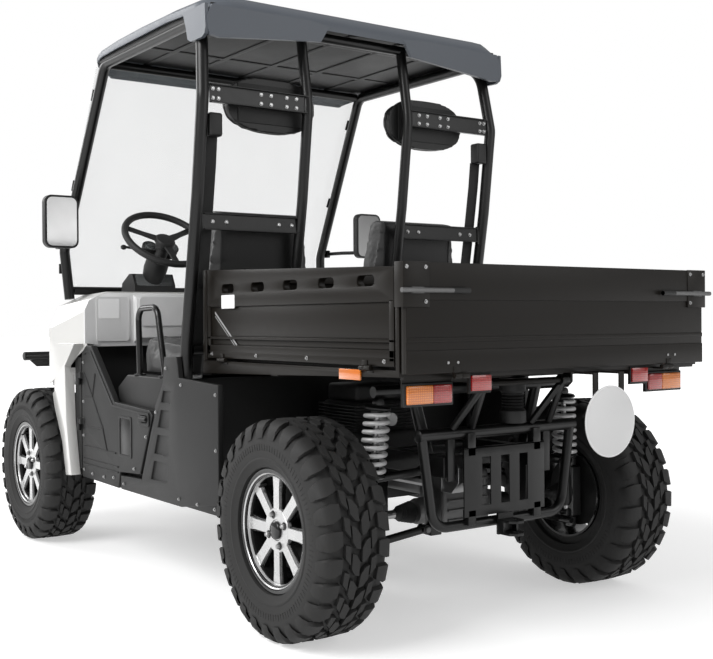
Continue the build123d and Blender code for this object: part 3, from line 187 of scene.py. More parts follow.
def grained(name, colour, dark, roughness, pores, depth, sheen=0.35):
    """Moulded plastic or vinyl with a pebbled grain."""
    finish = Finish(name)
    pebble = finish.cells(pores)
    cloud = finish.noise(9.0, 4.0, 0.6)
    fine = finish.noise(pores * 2.2, 2.0)
    tone = finish.mix(cloud * 0.6 + pebble * 0.5, colour, dark)
    normal = finish.bump(pebble + fine * 0.3, 0.5, depth)
    gloss = roughness - 0.08 + cloud * 0.12 + pebble * 0.06
    finish.shader.inputs["Specular IOR Level"].default_value = sheen
    return finish.done(Base_Color=tone, Roughness=gloss, Normal=normal)


def rubber_finish():
    finish = Finish("tyre_rubber")
    dust = finish.noise(14.0, 6.0, 0.7)
    pit = finish.noise(900.0, 2.0)
    tone = finish.mix(dust, grey(0.006), grey(0.014, 0.04))
    normal = finish.bump(pit, 0.4, 0.0004)
    return finish.done(Base_Color=tone, Roughness=0.62 + dust * 0.22, Normal=normal)


def machined_finish():
    finish = Finish("machined_alloy")
    depth = finish.axis("Z")
    along = finish.axis("X")
    turned = (along * along + depth * depth).root()
    lines = finish.noise(1400.0, 1.0)
    cloud = finish.noise(30.0, 3.0)
    tone = finish.mix(cloud, grey(0.62), grey(0.50))
    normal = finish.bump(lines + turned.wave(0.0011) * 0.4, 0.12, 0.0002)
    return finish.done(Base_Color=tone, Metallic=0.55, Roughness=0.2 + cloud * 0.14, Normal=normal)


def woven_finish():
    finish = Finish("belt_webbing")
    across = finish.axis("Y").wave(0.0024)
    down = finish.axis("Z").wave(0.0018)
    weave = across * 0.5 + down * 0.5
    tone = finish.mix(weave, grey(0.010), grey(0.026))
    normal = finish.bump(weave, 0.6, 0.0006)
    return finish.done(Base_Color=tone, Roughness=0.72 + weave * 0.1, Normal=normal)


def lens_finish(name, colour, dark, painted_glow):
    """A lamp lens with fine ribs inside the plastic, and a painted glow that is brightest on the ribs'
    crests.
    """
    finish = Finish(name)
    ribs = finish.axis("Y").wave(0.006)
    rows = finish.axis("Z").wave(0.006)
    cushion = ribs * rows
    tone = finish.mix(cushion, dark, colour)
    normal = finish.bump(cushion, 0.35, 0.0012)
    # painted glow: emission on the lens, brightest on the ribs' crests; the same finishes serve reflectors
    # and a buckle button, which are no lamps
    light = finish.mix(cushion, grey(0.0), painted_glow)
    finish.shader.inputs["Emission Strength"].default_value = 1.0
    gloss = 0.12 + cushion * 0.1
    return finish.done(
        Base_Color=tone, Roughness=gloss, Coat_Weight=1.0, Normal=normal, Emission_Color=light
    )


def clear_finish():
    finish = Finish("clear_sheet")
    haze = finish.noise(3.0, 4.0, 0.6)
    tone = finish.mix(haze, (0.80, 0.84, 0.84, 1.0), (0.70, 0.75, 0.76, 1.0))
    scratch = finish.noise(160.0, 2.0)
    normal = finish.bump(scratch, 0.03, 0.0002)
    gloss, cover = 0.04 + haze * 0.05, 0.10 + haze * 0.05
    return finish.done(Base_Color=tone, Roughness=gloss, Alpha=cover, Normal=normal)


def mirror_finish():
    """Silvered glass with a painted reflection: darker towards its upper edge."""
    finish = Finish("mirror_face")
    haze = finish.noise(12.0, 3.0)
    # painted reflection: the tone darkens with height above the lower edge
    lower_edge, shade_per_metre = 1.18, 4.2
    shade = (finish.axis("Z") - lower_edge) * shade_per_metre
    tone = finish.mix(shade + haze * 0.2, grey(0.62), grey(0.30))
    return finish.done(Base_Color=tone, Metallic=0.6, Roughness=0.10 + haze * 0.06)


def wound_finish():
    """Painted spring wire with light scuffs."""
    finish = Finish("spring_paint")
    scuff = finish.noise(120.0, 5.0, 0.7)
    tone = finish.mix(scuff, grey(0.62), grey(0.50))
    normal = finish.bump(scuff, 0.2, 0.0004)
    return finish.done(Base_Color=tone, Roughness=0.36 + scuff * 0.15, Metallic=0.2, Normal=normal)


TYRE = rubber_finish()
ALLOY = machined_finish()
RIM_BLACK = coated("rim_enamel", grey(0.006), grey(0.010), 0.24, 420.0, 0.0002, coat=0.3, sheen=0.3)
POWDER = coated("powder_coat", grey(0.004), grey(0.007), 0.32, 700.0, 0.0003, sheen=0.35)
BED_PAINT = coated("bed_enamel", grey(0.0075, 0.25), grey(0.0055, 0.2), 0.40, 500.0, 0.0002, sheen=0.18)
PLASTIC = grained("moulded_plastic", grey(0.009), grey(0.014), 0.50, 520.0, 0.0003)
CEILING = grained("ceiling_plastic", grey(0.006), grey(0.010), 0.55, 430.0, 0.0003)
PANEL = grained("panel_plastic", grey(0.011), grey(0.016), 0.50, 520.0, 0.0003)
DASH = coated("dash_silver", grey(0.74), grey(0.66), 0.34, 1200.0, 0.0001,
              metallic=0.1, coat=0.3, spread=0.08)
ROOF_PLASTIC = grained("roof_plastic", (0.085, 0.095, 0.112, 1.0), (0.100, 0.112, 0.130, 1.0),
                       0.40, 430.0, 0.0003)
PEARL = coated("pearl_paint", (0.74, 0.735, 0.715, 1.0), (0.68, 0.675, 0.66, 1.0), 0.30, 1500.0, 0.0001,
               metallic=0.15, coat=0.8, spread=0.08)
CAST = coated("cast_metal", grey(0.17), grey(0.10), 0.52, 600.0, 0.0006, metallic=0.7)
CAST_DARK = coated("drum_casting", grey(0.02), grey(0.012), 0.55, 450.0, 0.0006, metallic=0.5)
ENGINE = coated("engine_casting", grey(0.07), grey(0.04), 0.55, 450.0, 0.0008, metallic=0.6)
STEEL = coated("zinc_steel", grey(0.38), grey(0.28), 0.30, 900.0, 0.0002, metallic=0.9)
VINYL = grained("seat_vinyl", grey(0.009), grey(0.014), 0.44, 330.0, 0.0005)
# lighter grey copy of the seat vinyl for the side bands: a painted satin highlight on the dark seats
VINYL_PAINTED_SHEEN = grained("bolster_painted_sheen", grey(0.075), grey(0.06), 0.46, 330.0, 0.0005)
GRIP = grained("grip_rubber", grey(0.012), grey(0.016), 0.55, 640.0, 0.0004)
SPRING = wound_finish()
WEBBING = woven_finish()
CLEAR = clear_finish()
MIRROR = mirror_finish()
AMBER = lens_finish("amber_lens", (0.95, 0.30, 0.02, 1.0), (0.62, 0.15, 0.01, 1.0), (0.06, 0.015, 0.0, 1.0))
RED = lens_finish("red_lens", (0.60, 0.02, 0.015, 1.0), (0.30, 0.008, 0.006, 1.0), (0.03, 0.0, 0.0, 1.0))
LAMP = lens_finish("clear_lens", (0.80, 0.82, 0.84, 1.0), (0.42, 0.44, 0.46, 1.0), (0.05, 0.05, 0.05, 1.0))
WHITE = coated("sign_white", grey(0.80), grey(0.76), 0.35, 700.0, 0.0001, spread=0.06)
LABEL = coated("label_film", grey(0.90), grey(0.86), 0.40, 700.0, 0.0001, spread=0.06)
STRIPE = coated("stripe_film", grey(0.30), grey(0.24), 0.35, 700.0, 0.0001, spread=0.06)


# ---------------------------------------------------------------- shapes
def corners(shape, least_angle):
    """The edges where two faces meet at more than an angle."""
    return [
        edge for edge in shape.edges if len(edge.link_faces) == 2 and edge.calc_face_angle() > least_angle
    ]


def span(turn, near, far):
    """Low and high y of what reaches from near to far on the side that turn names."""
    return sorted((turn * near, turn * far))


def on_circle(radius, step, steps):
    """A point of a circle that is shared out into equal steps."""
    turn = 2 * math.pi * step / steps
    return radius * math.cos(turn), radius * math.sin(turn)


def merged(shape, part, material=0, bevel=0.0, segments=2):
    """Adds a part to a shape, with its edges rounded if a bevel is given."""
    if bevel:
        edges = corners(part, 0.35)
        bmesh.ops.bevel(part, geom=edges, offset=bevel, segments=segments, profile=0.5, affect="EDGES")
    bmesh.ops.recalc_face_normals(part, faces=part.faces)
    for face in part.faces:
        face.material_index = material
    carrier = bpy.data.meshes.new("carrier")
    part.to_mesh(carrier)
    part.free()
    shape.from_mesh(carrier)
    bpy.data.meshes.remove(carrier)


def box(shape, x, y, z, material=0, bevel=0.0, segments=2):
    """A box between low and high values on each axis."""
    part = bmesh.new()
    bmesh.ops.create_cube(part, size=1.0)
    for vert in part.verts:
        vert.co = Vector([lo + (hi - lo) * (c + 0.5) for (lo, hi), c in zip((x, y, z), vert.co)])
    merged(shape, part, material, bevel, segments)


def prism(shape, outline, origin, across, up, depth, material=0, bevel=0.0, segments=2):
    """A plate cut to an outline in a plane, as thick as depth along the plane's normal."""
    origin, across, up = Vector(origin), Vector(across).normalized(), Vector(up).normalized()
    normal = across.cross(up)
    part = bmesh.new()
    near = [part.verts.new(origin + across * a + up * b) for a, b in outline]
    far = [part.verts.new(vert.co + normal * depth) for vert in near]
    part.faces.new(near)
    part.faces.new(far[::-1])
    for index in range(len(near)):
        after = (index + 1) % len(near)
        part.faces.new((near[index], near[after], far[after], far[index]))
    merged(shape, part, material, bevel, segments)


def side_cut(shape, outline, y, thickness, material=0, bevel=0.0):
    """A plate from (x, z) points, from y towards greater y by a signed thickness."""
    prism(shape, outline, (0, y, 0), *ALONG, -thickness, material, bevel)


def thickened(shape, part, push, material, bevel, keep):
    """Gives a flat part its thickness and adds it to a shape."""
    skin = bmesh.ops.extrude_face_region(part, geom=part.faces[:], use_keep_orig=keep)
    moved = [item for item in skin["geom"] if isinstance(item, bmesh.types.BMVert)]
    bmesh.ops.translate(part, vec=push, verts=moved)
    bmesh.ops.recalc_face_normals(part, faces=part.faces)
    merged(shape, part, material, bevel, 2)


def pierced(shape, rows, columns, holes, x, depth):
    """A plate across the vehicle from grid lines, with some of its cells left open."""
    part = bmesh.new()
    grid = [[part.verts.new((x, y, z)) for z in rows] for y in columns]
    for i in range(len(columns) - 1):
        for j in range(len(rows) - 1):
            if (i, j) not in holes:
                part.faces.new((grid[i][j], grid[i + 1][j], grid[i + 1][j + 1], grid[i][j + 1]))
    loose = [vert for vert in part.verts if not vert.link_faces]
    bmesh.ops.delete(part, geom=loose, context="VERTS")
    thickened(shape, part, (depth, 0, 0), 0, 1.0, False)


def holed(shape, outline, holes, origin, across, up, depth, material=0, bevel=0.0):
    """A plate cut to an outline with holes through it, as thick as depth along across x up."""
    origin, across, up = Vector(origin), Vector(across).normalized(), Vector(up).normalized()
    normal = across.cross(up)
    part = bmesh.new()
    edges = []
    for loop in [outline] + list(holes):
        verts = [part.verts.new(origin + across * a + up * b) for a, b in loop]
        edges += [part.edges.new((verts[index - 1], verts[index])) for index in range(len(verts))]
    bmesh.ops.triangle_fill(part, use_beauty=True, use_dissolve=False, edges=edges, normal=normal)
    thickened(shape, part, normal * depth, material, bevel, True)


def rounded(x, z, radius, corner_steps=5):
    """The outline of a rectangle between low and high values, with round corners."""
    loop = []
    for corner_x, corner_z, first in (
        (x[1] - radius, z[1] - radius, 0), (x[0] + radius, z[1] - radius, 90),
        (x[0] + radius, z[0] + radius, 180), (x[1] - radius, z[0] + radius, 270),
    ):
        for step in range(corner_steps + 1):
            turn = math.radians(first + 90 * step / corner_steps)
            loop.append((corner_x + radius * math.cos(turn), corner_z + radius * math.sin(turn)))
    return loop


def skinned(part, rings, closed=False):
    """Faces between rings of points, capped at both ends unless the last ring meets the first."""
    pairs = list(zip(rings, rings[1:])) + ([(rings[-1], rings[0])] if closed else [])
    for near, far in pairs:
        for step in range(len(near)):
            after = (step + 1) % len(near)
            part.faces.new((near[step], near[after], far[after], far[step]))
    if not closed:
        part.faces.new(rings[0][::-1])
        part.faces.new(rings[-1])


def lathe(shape, outline, centre, axis, sides=48, material=0, closed=False):
    """A turned shape from (radius, distance along the axis) points."""
    axis = Vector(axis).normalized()
    first = axis.orthogonal().normalized()
    second = axis.cross(first)
    part = bmesh.new()
    rings = []
    for radius, reach in outline:
        ring = []
        for step in range(sides):
            a, b = on_circle(1.0, step, sides)
            ring.append(part.verts.new(Vector(centre) + axis * reach + (first * a + second * b) * radius))
        rings.append(ring)
    skinned(part, rings, closed)
    merged(shape, part, material)


def bent_route(points, bends, step=math.radians(8)):
    """The points along a bent tube's middle line, with an arc at each corner."""
    points = [Vector(point) for point in points]
    if not isinstance(bends, (list, tuple)):
        bends = [bends] * (len(points) - 2)
    route = [points[0]]
    for before, corner, after, bend in zip(points, points[1:], points[2:], bends):
        inward = (before - corner).normalized()
        outward = (after - corner).normalized()
        turn = math.pi - inward.angle(outward)
        if turn < 0.01 or not bend:
            route.append(corner)
            continue
        trim = bend * math.tan(turn / 2)
        start = corner + inward * trim
        middle = corner + (inward + outward).normalized() * (bend / math.cos(turn / 2))
        arm = start - middle
        axis = arm.cross(inward * -1).normalized()
        count = max(2, math.ceil(turn / step))
        for index in range(count + 1):
            route.append(middle + Matrix.Rotation(turn * index / count, 3, axis) @ arm)
    route.append(points[-1])
    return route


def sweep(shape, route, section, material=0, start_up=None):
    """Carries a closed section of (a, b) points along a route, without twisting it."""
    part = bmesh.new()
    rings = []
    up = None
    for index, point in enumerate(route):
        ahead = route[min(index + 1, len(route) - 1)] - route[max(index - 1, 0)]
        ahead.normalize()
        if up is None:
            up = Vector(start_up) if start_up else ahead.orthogonal()
        up = (up - ahead * up.dot(ahead)).normalized()
        side = ahead.cross(up)
        rings.append([part.verts.new(point + side * a + up * b) for a, b in section])
    skinned(part, rings)
    merged(shape, part, material)


def round_section(radius, sides=16):
    return [on_circle(radius, step, sides) for step in range(sides)]


def pipe(shape, points, radius, bends=0.0, sides=16, material=0):
    """A round tube along the points."""
    route = bent_route(points, bends) if len(points) > 2 else [Vector(point) for point in points]
    sweep(shape, route, round_section(radius, sides), material)


def mirrored(shape):
    """Adds the shape's own reflection on the other side of the vehicle."""
    carrier = bpy.data.meshes.new("carrier")
    shape.to_mesh(carrier)
    carrier.transform(Matrix.Diagonal((1, -1, 1, 1)))
    carrier.flip_normals()
    shape.from_mesh(carrier)
    bpy.data.meshes.remove(carrier)


def settled(obj):
    """Bakes a piece's live modifiers into its mesh."""
    graph = bpy.context.evaluated_depsgraph_get()
    mesh = bpy.data.meshes.new_from_object(obj.evaluated_get(graph))
    rough = obj.data
    obj.modifiers.clear()
    obj.data = mesh
    bpy.data.meshes.remove(rough)
    return obj


def linked(name, data):
    """A new object in the scene."""
    obj = bpy.data.objects.new(name, data)
    SCENE.collection.objects.link(obj)
    return obj


def mesh_of(shape, finishes=(), name="part"):
    """A shape in millimetres as a mesh in metres with its finishes."""
    bmesh.ops.scale(shape, vec=(MM, MM, MM), verts=shape.verts)
    mesh = bpy.data.meshes.new(name)
    shape.to_mesh(mesh)
    shape.free()
    for finish in finishes:
        mesh.materials.append(finish)
    return mesh


def placed(name, mesh, body, materials, nodes=(), crease=38.0):
    """Makes a finished mesh, in metres, a piece that rides on its body."""
    for place, material in enumerate(materials):
        if place < len(mesh.materials):
            mesh.materials[place] = material
        else:
            mesh.materials.append(material)
    mesh.shade_smooth()
    mesh.set_sharp_from_angle(angle=math.radians(crease))
    obj = linked(name, mesh)
    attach(obj, body)
    if nodes:
        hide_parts(*nodes)
    return obj


def piece(name, shape, body, materials, nodes=(), crease=38.0):
    """Makes a shape in millimetres a named piece of the vehicle."""
    return placed(name, mesh_of(shape, (), name), body, materials, nodes, crease)


def eased(node, width, finish, segments=2):
    """The node's own form with its edges eased, so that they catch the light."""
    shape = bmesh.new()
    shape.from_mesh(frame["nodes"][node].data)
    bmesh.ops.remove_doubles(shape, verts=shape.verts, dist=2e-5)
    bmesh.ops.dissolve_limit(shape, angle_limit=0.02, verts=shape.verts, edges=shape.edges)
    bmesh.ops.bevel(
        shape, geom=corners(shape, 0.4), offset=width * MM, segments=segments, profile=0.5,
        affect="EDGES", clamp_overlap=False,
    )
    mesh = bpy.data.meshes.new(node + "_eased")
    shape.to_mesh(mesh)
    shape.free()
    placed(node + "_eased", mesh, BODY_OF[node], (finish,), (node,), 30.0)


# ---------------------------------------------------------------- repeats
class Repeat:
    """A geometry tree that copies a unit, with named inputs."""

    def __init__(self, name, inputs):
        self.tree = bpy.data.node_groups.new(name, "GeometryNodeTree")
        face = self.tree.interface
        face.new_socket("Geometry", in_out="OUTPUT", socket_type="NodeSocketGeometry")
        self.sockets = {}
        for label, kind in inputs.items():
            made = face.new_socket(label, in_out="INPUT", socket_type="NodeSocket" + kind)
            self.sockets[label] = made.identifier
        self.given = self.tree.nodes.new("NodeGroupInput").outputs

    def node(self, kind, sockets=None, outlet=0, **settings):
        """A node with its settings, then the values or links of its sockets."""
        node = self.tree.nodes.new(kind)
        for key, value in settings.items():
            setattr(node, key, value)
        for key, value in (sockets or {}).items():
            if isinstance(value, bpy.types.NodeSocket):
                self.tree.links.new(value, node.inputs[key])
            else:
                node.inputs[key].default_value = value
        return node.outputs[outlet]

    def unit(self, label):
        return self.node("GeometryNodeObjectInfo", {"Object": self.given[label]}, "Geometry")

    def ended(self, geometry):
        """Sets the finish on the copies and closes the tree."""
        painted = self.node(
            "GeometryNodeSetMaterial", {"Geometry": geometry, "Material": self.given["Finish"]}
        )
        sink = self.tree.nodes.new("NodeGroupOutput")
        self.tree.links.new(painted, sink.inputs["Geometry"])
        return self.tree, self.sockets


def ring_tree():
    """Copies of a unit turned about the Y axis through a centre, at equal steps."""
    inputs = {
        "Unit": "Object", "Count": "Int", "First turn": "Float", "Centre": "Vector", "Finish": "Material",
    }
    ring = Repeat("ring of copies", inputs)
    given = ring.given
    line = ring.node("GeometryNodeMeshLine", {"Offset": (0, 0, 0), "Count": given["Count"]}, "Mesh")
    share = ring.node("ShaderNodeMath", {0: 2 * math.pi, 1: given["Count"]}, operation="DIVIDE")
    index = ring.node("GeometryNodeInputIndex")
    turn = ring.node("ShaderNodeMath", {0: index, 1: share, 2: given["First turn"]}, operation="MULTIPLY_ADD")
    lean = ring.node("ShaderNodeCombineXYZ", {"Y": turn})
    copies = ring.node(
        "GeometryNodeInstanceOnPoints", {"Points": line, "Instance": ring.unit("Unit"), "Rotation": lean}
    )
    real = ring.node("GeometryNodeRealizeInstances", {0: copies})
    return ring.ended(
        ring.node("GeometryNodeTransform", {"Geometry": real, "Translation": given["Centre"]})
    )


def scatter_tree():
    """Copies of a unit on the points of a mesh, each turned to its point's facing."""
    scatter = Repeat("copies on points", {"Places": "Object", "Unit": "Object", "Finish": "Material"})
    attribute = "GeometryNodeInputNamedAttribute"
    facing = scatter.node(attribute, {"Name": "facing"}, "Attribute", data_type="FLOAT_VECTOR")
    size = scatter.node(attribute, {"Name": "size"}, "Attribute", data_type="FLOAT")
    align = scatter.node("FunctionNodeAlignRotationToVector", {"Vector": facing}, axis="Z")
    sockets = {
        "Points": scatter.unit("Places"), "Instance": scatter.unit("Unit"), "Rotation": align, "Scale": size,
    }
    copies = scatter.node("GeometryNodeInstanceOnPoints", sockets)
    return scatter.ended(scatter.node("GeometryNodeRealizeInstances", {0: copies}))


RING, RING_INPUTS = ring_tree()
SCATTER, SCATTER_INPUTS = scatter_tree()


def from_tree(tree, sockets, values):
    """The plain mesh that a geometry tree makes from its inputs."""
    host = linked("host", bpy.data.meshes.new("host"))
    modifier = host.modifiers.new("tree", "NODES")
    modifier.node_group = tree
    for label, value in values.items():
        modifier[sockets[label]] = value
    graph = bpy.context.evaluated_depsgraph_get()
    mesh = bpy.data.meshes.new_from_object(host.evaluated_get(graph))
    bpy.data.objects.remove(host)
    return mesh


def ring_mesh(shape, count, first_turn, centre, finish):
    """The mesh of a shape's copies in a ring."""
    unit = linked("unit", mesh_of(shape))
    values = {"Unit": unit, "Count": count, "First turn": first_turn, "Centre": centre, "Finish": finish}
    mesh = from_tree(RING, RING_INPUTS, values)
    bpy.data.objects.remove(unit)
    return mesh


def bolt_unit():
    """A hexagon head on a round flange, one millimetre across its flange."""
    shape = bmesh.new()
    lathe(shape, ((0.5, 0.0), (0.5, 0.06), (0.44, 0.10), (0.30, 0.11)), (0, 0, 0), (0, 0, 1), 12)
    lathe(shape, ((0.36, 0.10), (0.36, 0.30), (0.30, 0.36)), (0, 0, 0), (0, 0, 1), 6)
    return shape


def bolts(name, places, body, finish):
    """Bolt heads at (point, facing, size) in millimetres."""
    mesh = bpy.data.meshes.new("places")
    mesh.from_pydata([[c * MM for c in point] for point, facing, size in places], [], [])
    mesh.attributes.new("facing", "FLOAT_VECTOR", "POINT")
    mesh.attributes.new("size", "FLOAT", "POINT")
    for index, (point, direction, across) in enumerate(places):
        mesh.attributes["facing"].data[index].vector = direction
        mesh.attributes["size"].data[index].value = across
    points = linked("places", mesh)
    unit = linked("bolt", mesh_of(bolt_unit()))
    made = from_tree(SCATTER, SCATTER_INPUTS, {"Places": points, "Unit": unit, "Finish": finish})
    bpy.data.objects.remove(points)
    bpy.data.objects.remove(unit)
    return placed(name, made, body, (finish,), (), 40.0)


def joined(meshes):
    """Several meshes as one, with their materials kept in order of first use."""
    shape = bmesh.new()
    finishes = []
    for mesh in meshes:
        first = len(shape.faces)
        shape.from_mesh(mesh)
        shape.faces.ensure_lookup_table()
        own = list(mesh.materials) or [None]
        for material in own:
            if material not in finishes:
                finishes.append(material)
        for face in shape.faces[first:]:
            material = own[min(face.material_index, len(own) - 1)]
            face.material_index = finishes.index(material)
        bpy.data.meshes.remove(mesh)
    result = bpy.data.meshes.new("joined")
    shape.to_mesh(result)
    shape.free()
    return result, finishes


# ---------------------------------------------------------------- wheels
AXLE_Z = 311.0
WHEELS = (
    # name, axle x, centre y, tyre width
    ("front_left", 933.0, 637.0, 205.0),
    ("front_right", 933.0, -637.0, 205.0),
    ("rear_left", -930.0, 575.0, 215.0),
    ("rear_right", -930.0, -575.0, 215.0),
)
LUGS = 27
CROWN = 297.0
NUT_RING = 45.0


def strip(shape, rows, depth_rows, material=0):
    """A bent block from rows of (y, radius, half angle, middle angle), with a foot at each row's depth."""
    part = bmesh.new()
    tops, feet = [], []
    for (y, radius, half, middle), foot in zip(rows, depth_rows):
        top, base = [], []
        for sign in (-1, 1):
            angle = math.radians(middle + sign * half)
            top.append(part.verts.new((radius * math.sin(angle), y, radius * math.cos(angle))))
            wide = math.radians(middle + sign * (half + 0.45))
            base.append(part.verts.new((foot * math.sin(wide), y, foot * math.cos(wide))))
        tops.append(top)
        feet.append(base)
    for index in range(len(rows) - 1):
        t0, t1, f0, f1 = tops[index], tops[index + 1], feet[index], feet[index + 1]
        part.faces.new((t0[0], t0[1], t1[1], t1[0]))
        part.faces.new((f0[1], f0[0], f1[0], f1[1]))
        for end in (0, 1):
            part.faces.new((t0[end], t1[end], f1[end], f0[end]))
    for t, f in ((tops[0], feet[0]), (tops[-1], feet[-1])):
        part.faces.new((t[0], f[0], f[1], t[1]))
    merged(shape, part, material, 1.2, 1)


def tread_unit(half_width, sign):
    """One pitch of tread on one side: a shoulder lug that runs down the wall, and two inner blocks."""
    shape = bmesh.new()
    w = half_width
    strip(
        shape,
        (
            (sign * (w - 50), 309.5, 3.4, 1.0),
            (sign * (w - 26), 309.0, 4.6, 0.0),
            (sign * (w - 10), 301.0, 4.4, -0.6),
            (sign * (w + 0.5), 283.0, 3.6, -1.0),
            (sign * (w + 2.0), 262.0, 2.4, -1.2),
        ),
        (CROWN - 3, CROWN - 3, 290.0, 274.0, 259.0),
    )
    strip(
        shape,
        ((sign * 33, 310.6, 4.4, 5.4), (sign * (w - 58), 310.0, 3.2, 7.8)),
        (CROWN - 2, CROWN - 2),
    )
    strip(
        shape,
        ((sign * 3, 311.0, 3.6, -1.5), (sign * 16, 311.0, 5.0, 0.5), (sign * 28, 310.8, 3.8, 2.6)),
        (CROWN - 2, CROWN - 2, CROWN - 2),
    )
    return shape


def tyre_piece(name, x, y, width):
    outward = 1 if y > 0 else -1
    half = width / 2
    centre = (x * MM, y * MM, AXLE_Z * MM)
    wall = []
    for sign in (-1, 1):
        side = [
            (175.5, 80.5), (177.0, half - 12), (186.0, half - 8), (197.0, half - 3), (199.0, half - 1.5),
            (203.0, half - 1.5), (205.0, half - 3), (224.0, half + 0.5), (243.0, half + 1.0),
            (262.0, half - 1.5), (276.0, half - 7.0), (288.0, half - 14), (294.5, half - 24),
            (297.0, half - 42),
        ]
        wall.append([(radius, sign * reach) for radius, reach in side])
    outline = wall[0] + [(CROWN + 0.5, 0.0)] + wall[1][::-1] + [(153.5, 80.5), (153.5, -80.5)]
    carcass = bmesh.new()
    lathe(carcass, outline, (x, y, AXLE_Z), (0, 1, 0), 96, 0, True)
    parts = [mesh_of(carcass, (TYRE,))]
    for sign, turn in ((-1, 0.0), (1, math.pi / LUGS)):
        lug_turn = turn if outward > 0 else turn + 0.05
        parts.append(ring_mesh(tread_unit(half, sign), LUGS, lug_turn, centre, TYRE))
    for sign in (-1, 1):
        rib = bmesh.new()
        box(rib, (-1.0, 1.0), span(sign, half - 0.5, half + 1.6), (225.0, 243.0))
        parts.append(ring_mesh(rib, 108, 0.0, centre, TYRE))
    mesh, finishes = joined(parts)
    placed("tyre_" + name + "_tread", mesh, "wheel_" + name, finishes, ("tyre_" + name,), 45.0)


def spoke_unit(face):
    """The dark web under one spoke, wider than the spoke's face."""
    shape = bmesh.new()
    web = ((-19, 30), (19, 30), (19, 100), (25, 148), (-25, 148), (-19, 100))
    prism(shape, web, (0, face - 12, 0), *ALONG, -12.0, 0, 1.5, 1)
    return shape


def spoke_face_unit(face):
    """One straight machined spoke with its pad on the rim's lip."""
    shape = bmesh.new()
    bar = ((-14.5, 40), (14.5, 40), (14.5, 118), (18, 151), (-18, 151), (-14.5, 118))
    prism(shape, bar, (0, face, 0), *ALONG, -7.0, 0, 1.6, 2)
    box(shape, (-24, 24), (face + 4, face + 14), (150, 158), 0, 1.5)
    return shape


def rim_piece(name, x, y):
    outward = 1 if y > 0 else -1
    face = 64.0
    centre = (x * MM, y * MM, AXLE_Z * MM)
    axis = (0, outward, 0)
    shape = bmesh.new()
    barrel = (
        (152.0, -88.5), (152.0, 82.0), (173.5, 82.0), (174.0, 88.0), (171.0, 89.0), (163.0, 87.5),
        (156.0, 84.0), (149.0, 70.0), (145.5, 58.0), (144.0, -60.0), (145.5, -88.5),
    )
    lip = ((149.0, 70.5), (150.0, 74.0), (157.0, 84.6), (160.5, 86.8), (160.0, 84.0), (150.0, 69.0))
    for outline, sides, paint, closed in (
        (barrel, 96, 0, True),
        (lip, 96, 1, True),
        (((50, 26.0), (58, 40.0), (61, 60.0)), 48, 0, False),
        (((62, 58.0), (62, 69.5), (60, 71.5), (30, 71.5), (28, 69.0)), 48, 1, False),
        (((25, 68.0), (25, 78.0), (22, 80.5), (8.0, 82.0)), 32, 0, False),
    ):
        lathe(shape, outline, (x, y, AXLE_Z), axis, sides, paint, closed)
    parts = [mesh_of(shape, (RIM_BLACK, ALLOY))]
    for make, finish in ((spoke_unit, RIM_BLACK), (spoke_face_unit, ALLOY)):
        unit = make(face)
        if outward < 0:
            bmesh.ops.scale(unit, vec=(1, -1, 1), verts=unit.verts)
            bmesh.ops.reverse_faces(unit, faces=unit.faces)
        parts.append(ring_mesh(unit, 8, 0.0, centre, finish))
    for outline, sides, finish in (
        (((11.5, 66.0), (11.5, 72.2), (10.8, 72.6)), 20, RIM_BLACK),
        (((7.5, 72.0), (7.5, 80.0), (5.0, 83.0)), 6, STEEL),
    ):
        nut = bmesh.new()
        lathe(nut, outline, (0, 0, 0), axis, sides)
        bmesh.ops.translate(nut, vec=(0, 0, NUT_RING), verts=nut.verts)
        parts.append(ring_mesh(nut, 4, math.pi / 8, centre, finish))
    valve = bmesh.new()
    pipe(valve, ((20, outward * 60, 138), (22, outward * 84, 132)), 3.5, sides=10)
    parts.append(ring_mesh(valve, 1, 0.4, centre, GRIP))
    back = bmesh.new()
    lathe(back, ((118.0, -30.0), (118.0, 20.0), (112.0, 24.0)), (x, y, AXLE_Z), axis, 48, 0)
    parts.append(mesh_of(back, (CAST_DARK,)))
    mesh, finishes = joined(parts)
    placed("rim_" + name + "_spokes", mesh, "wheel_" + name, finishes, ("rim_" + name,), 35.0)


for wheel_name, wheel_x, wheel_y, wheel_width in WHEELS:
    tyre_piece(wheel_name, wheel_x, wheel_y, wheel_width)
    rim_piece(wheel_name, wheel_x, wheel_y)


# ---------------------------------------------------------------- cage
CAGE_RADIUS = 20.0
HOOP_Y, ROOF_Y, SCREEN_Y, SCREEN_FOOT_Y = 610.0, 590.0, 620.0, 608.0
REAR_PILLAR = ((-309.0, 330.3), (-309.0, 800.0), (-398.0, 1300.0), (-438.0, 1610.0), (-396.0, 1868.0))
FRONT_PILLAR = ((392.0, 1872.0), (757.0, 1190.0), (761.0, 1080.0), (738.0, 987.0))
INNER_Y = 214.0


def cage_side(turn):
    """One side hoop of the cage, with its welded tabs."""
    shape = bmesh.new()
    reaches = (HOOP_Y,) * 4 + (ROOF_Y,) * 2 + (SCREEN_Y,) * 2 + (SCREEN_FOOT_Y,)
    line = [(x, turn * y, z) for (x, z), y in zip(REAR_PILLAR + FRONT_PILLAR, reaches)]
    pipe(shape, line, CAGE_RADIUS, [300.0, 300.0, 90.0, 110.0, 60.0, 60.0], 24)
    lathe(shape, ((31, 0.0), (31, 5.0), (21.5, 6.5)), (-309.0, turn * HOOP_Y, 330.4), (0, 0, 1), 32)
    for height, x in ((1520.0, -426.0), (1216.0, -383.5)):
        box(shape, (x - 7, x + 7), span(turn, 586.0, 596.0), (height - 34, height + 34), 0, 2.0)
    return shape


for side_name, turn in (("left", 1), ("right", -1)):
    hoop = cage_side(turn)
    piece("cage_hoop_" + side_name, hoop, "vehicle", (POWDER,), ("cage_" + side_name,))

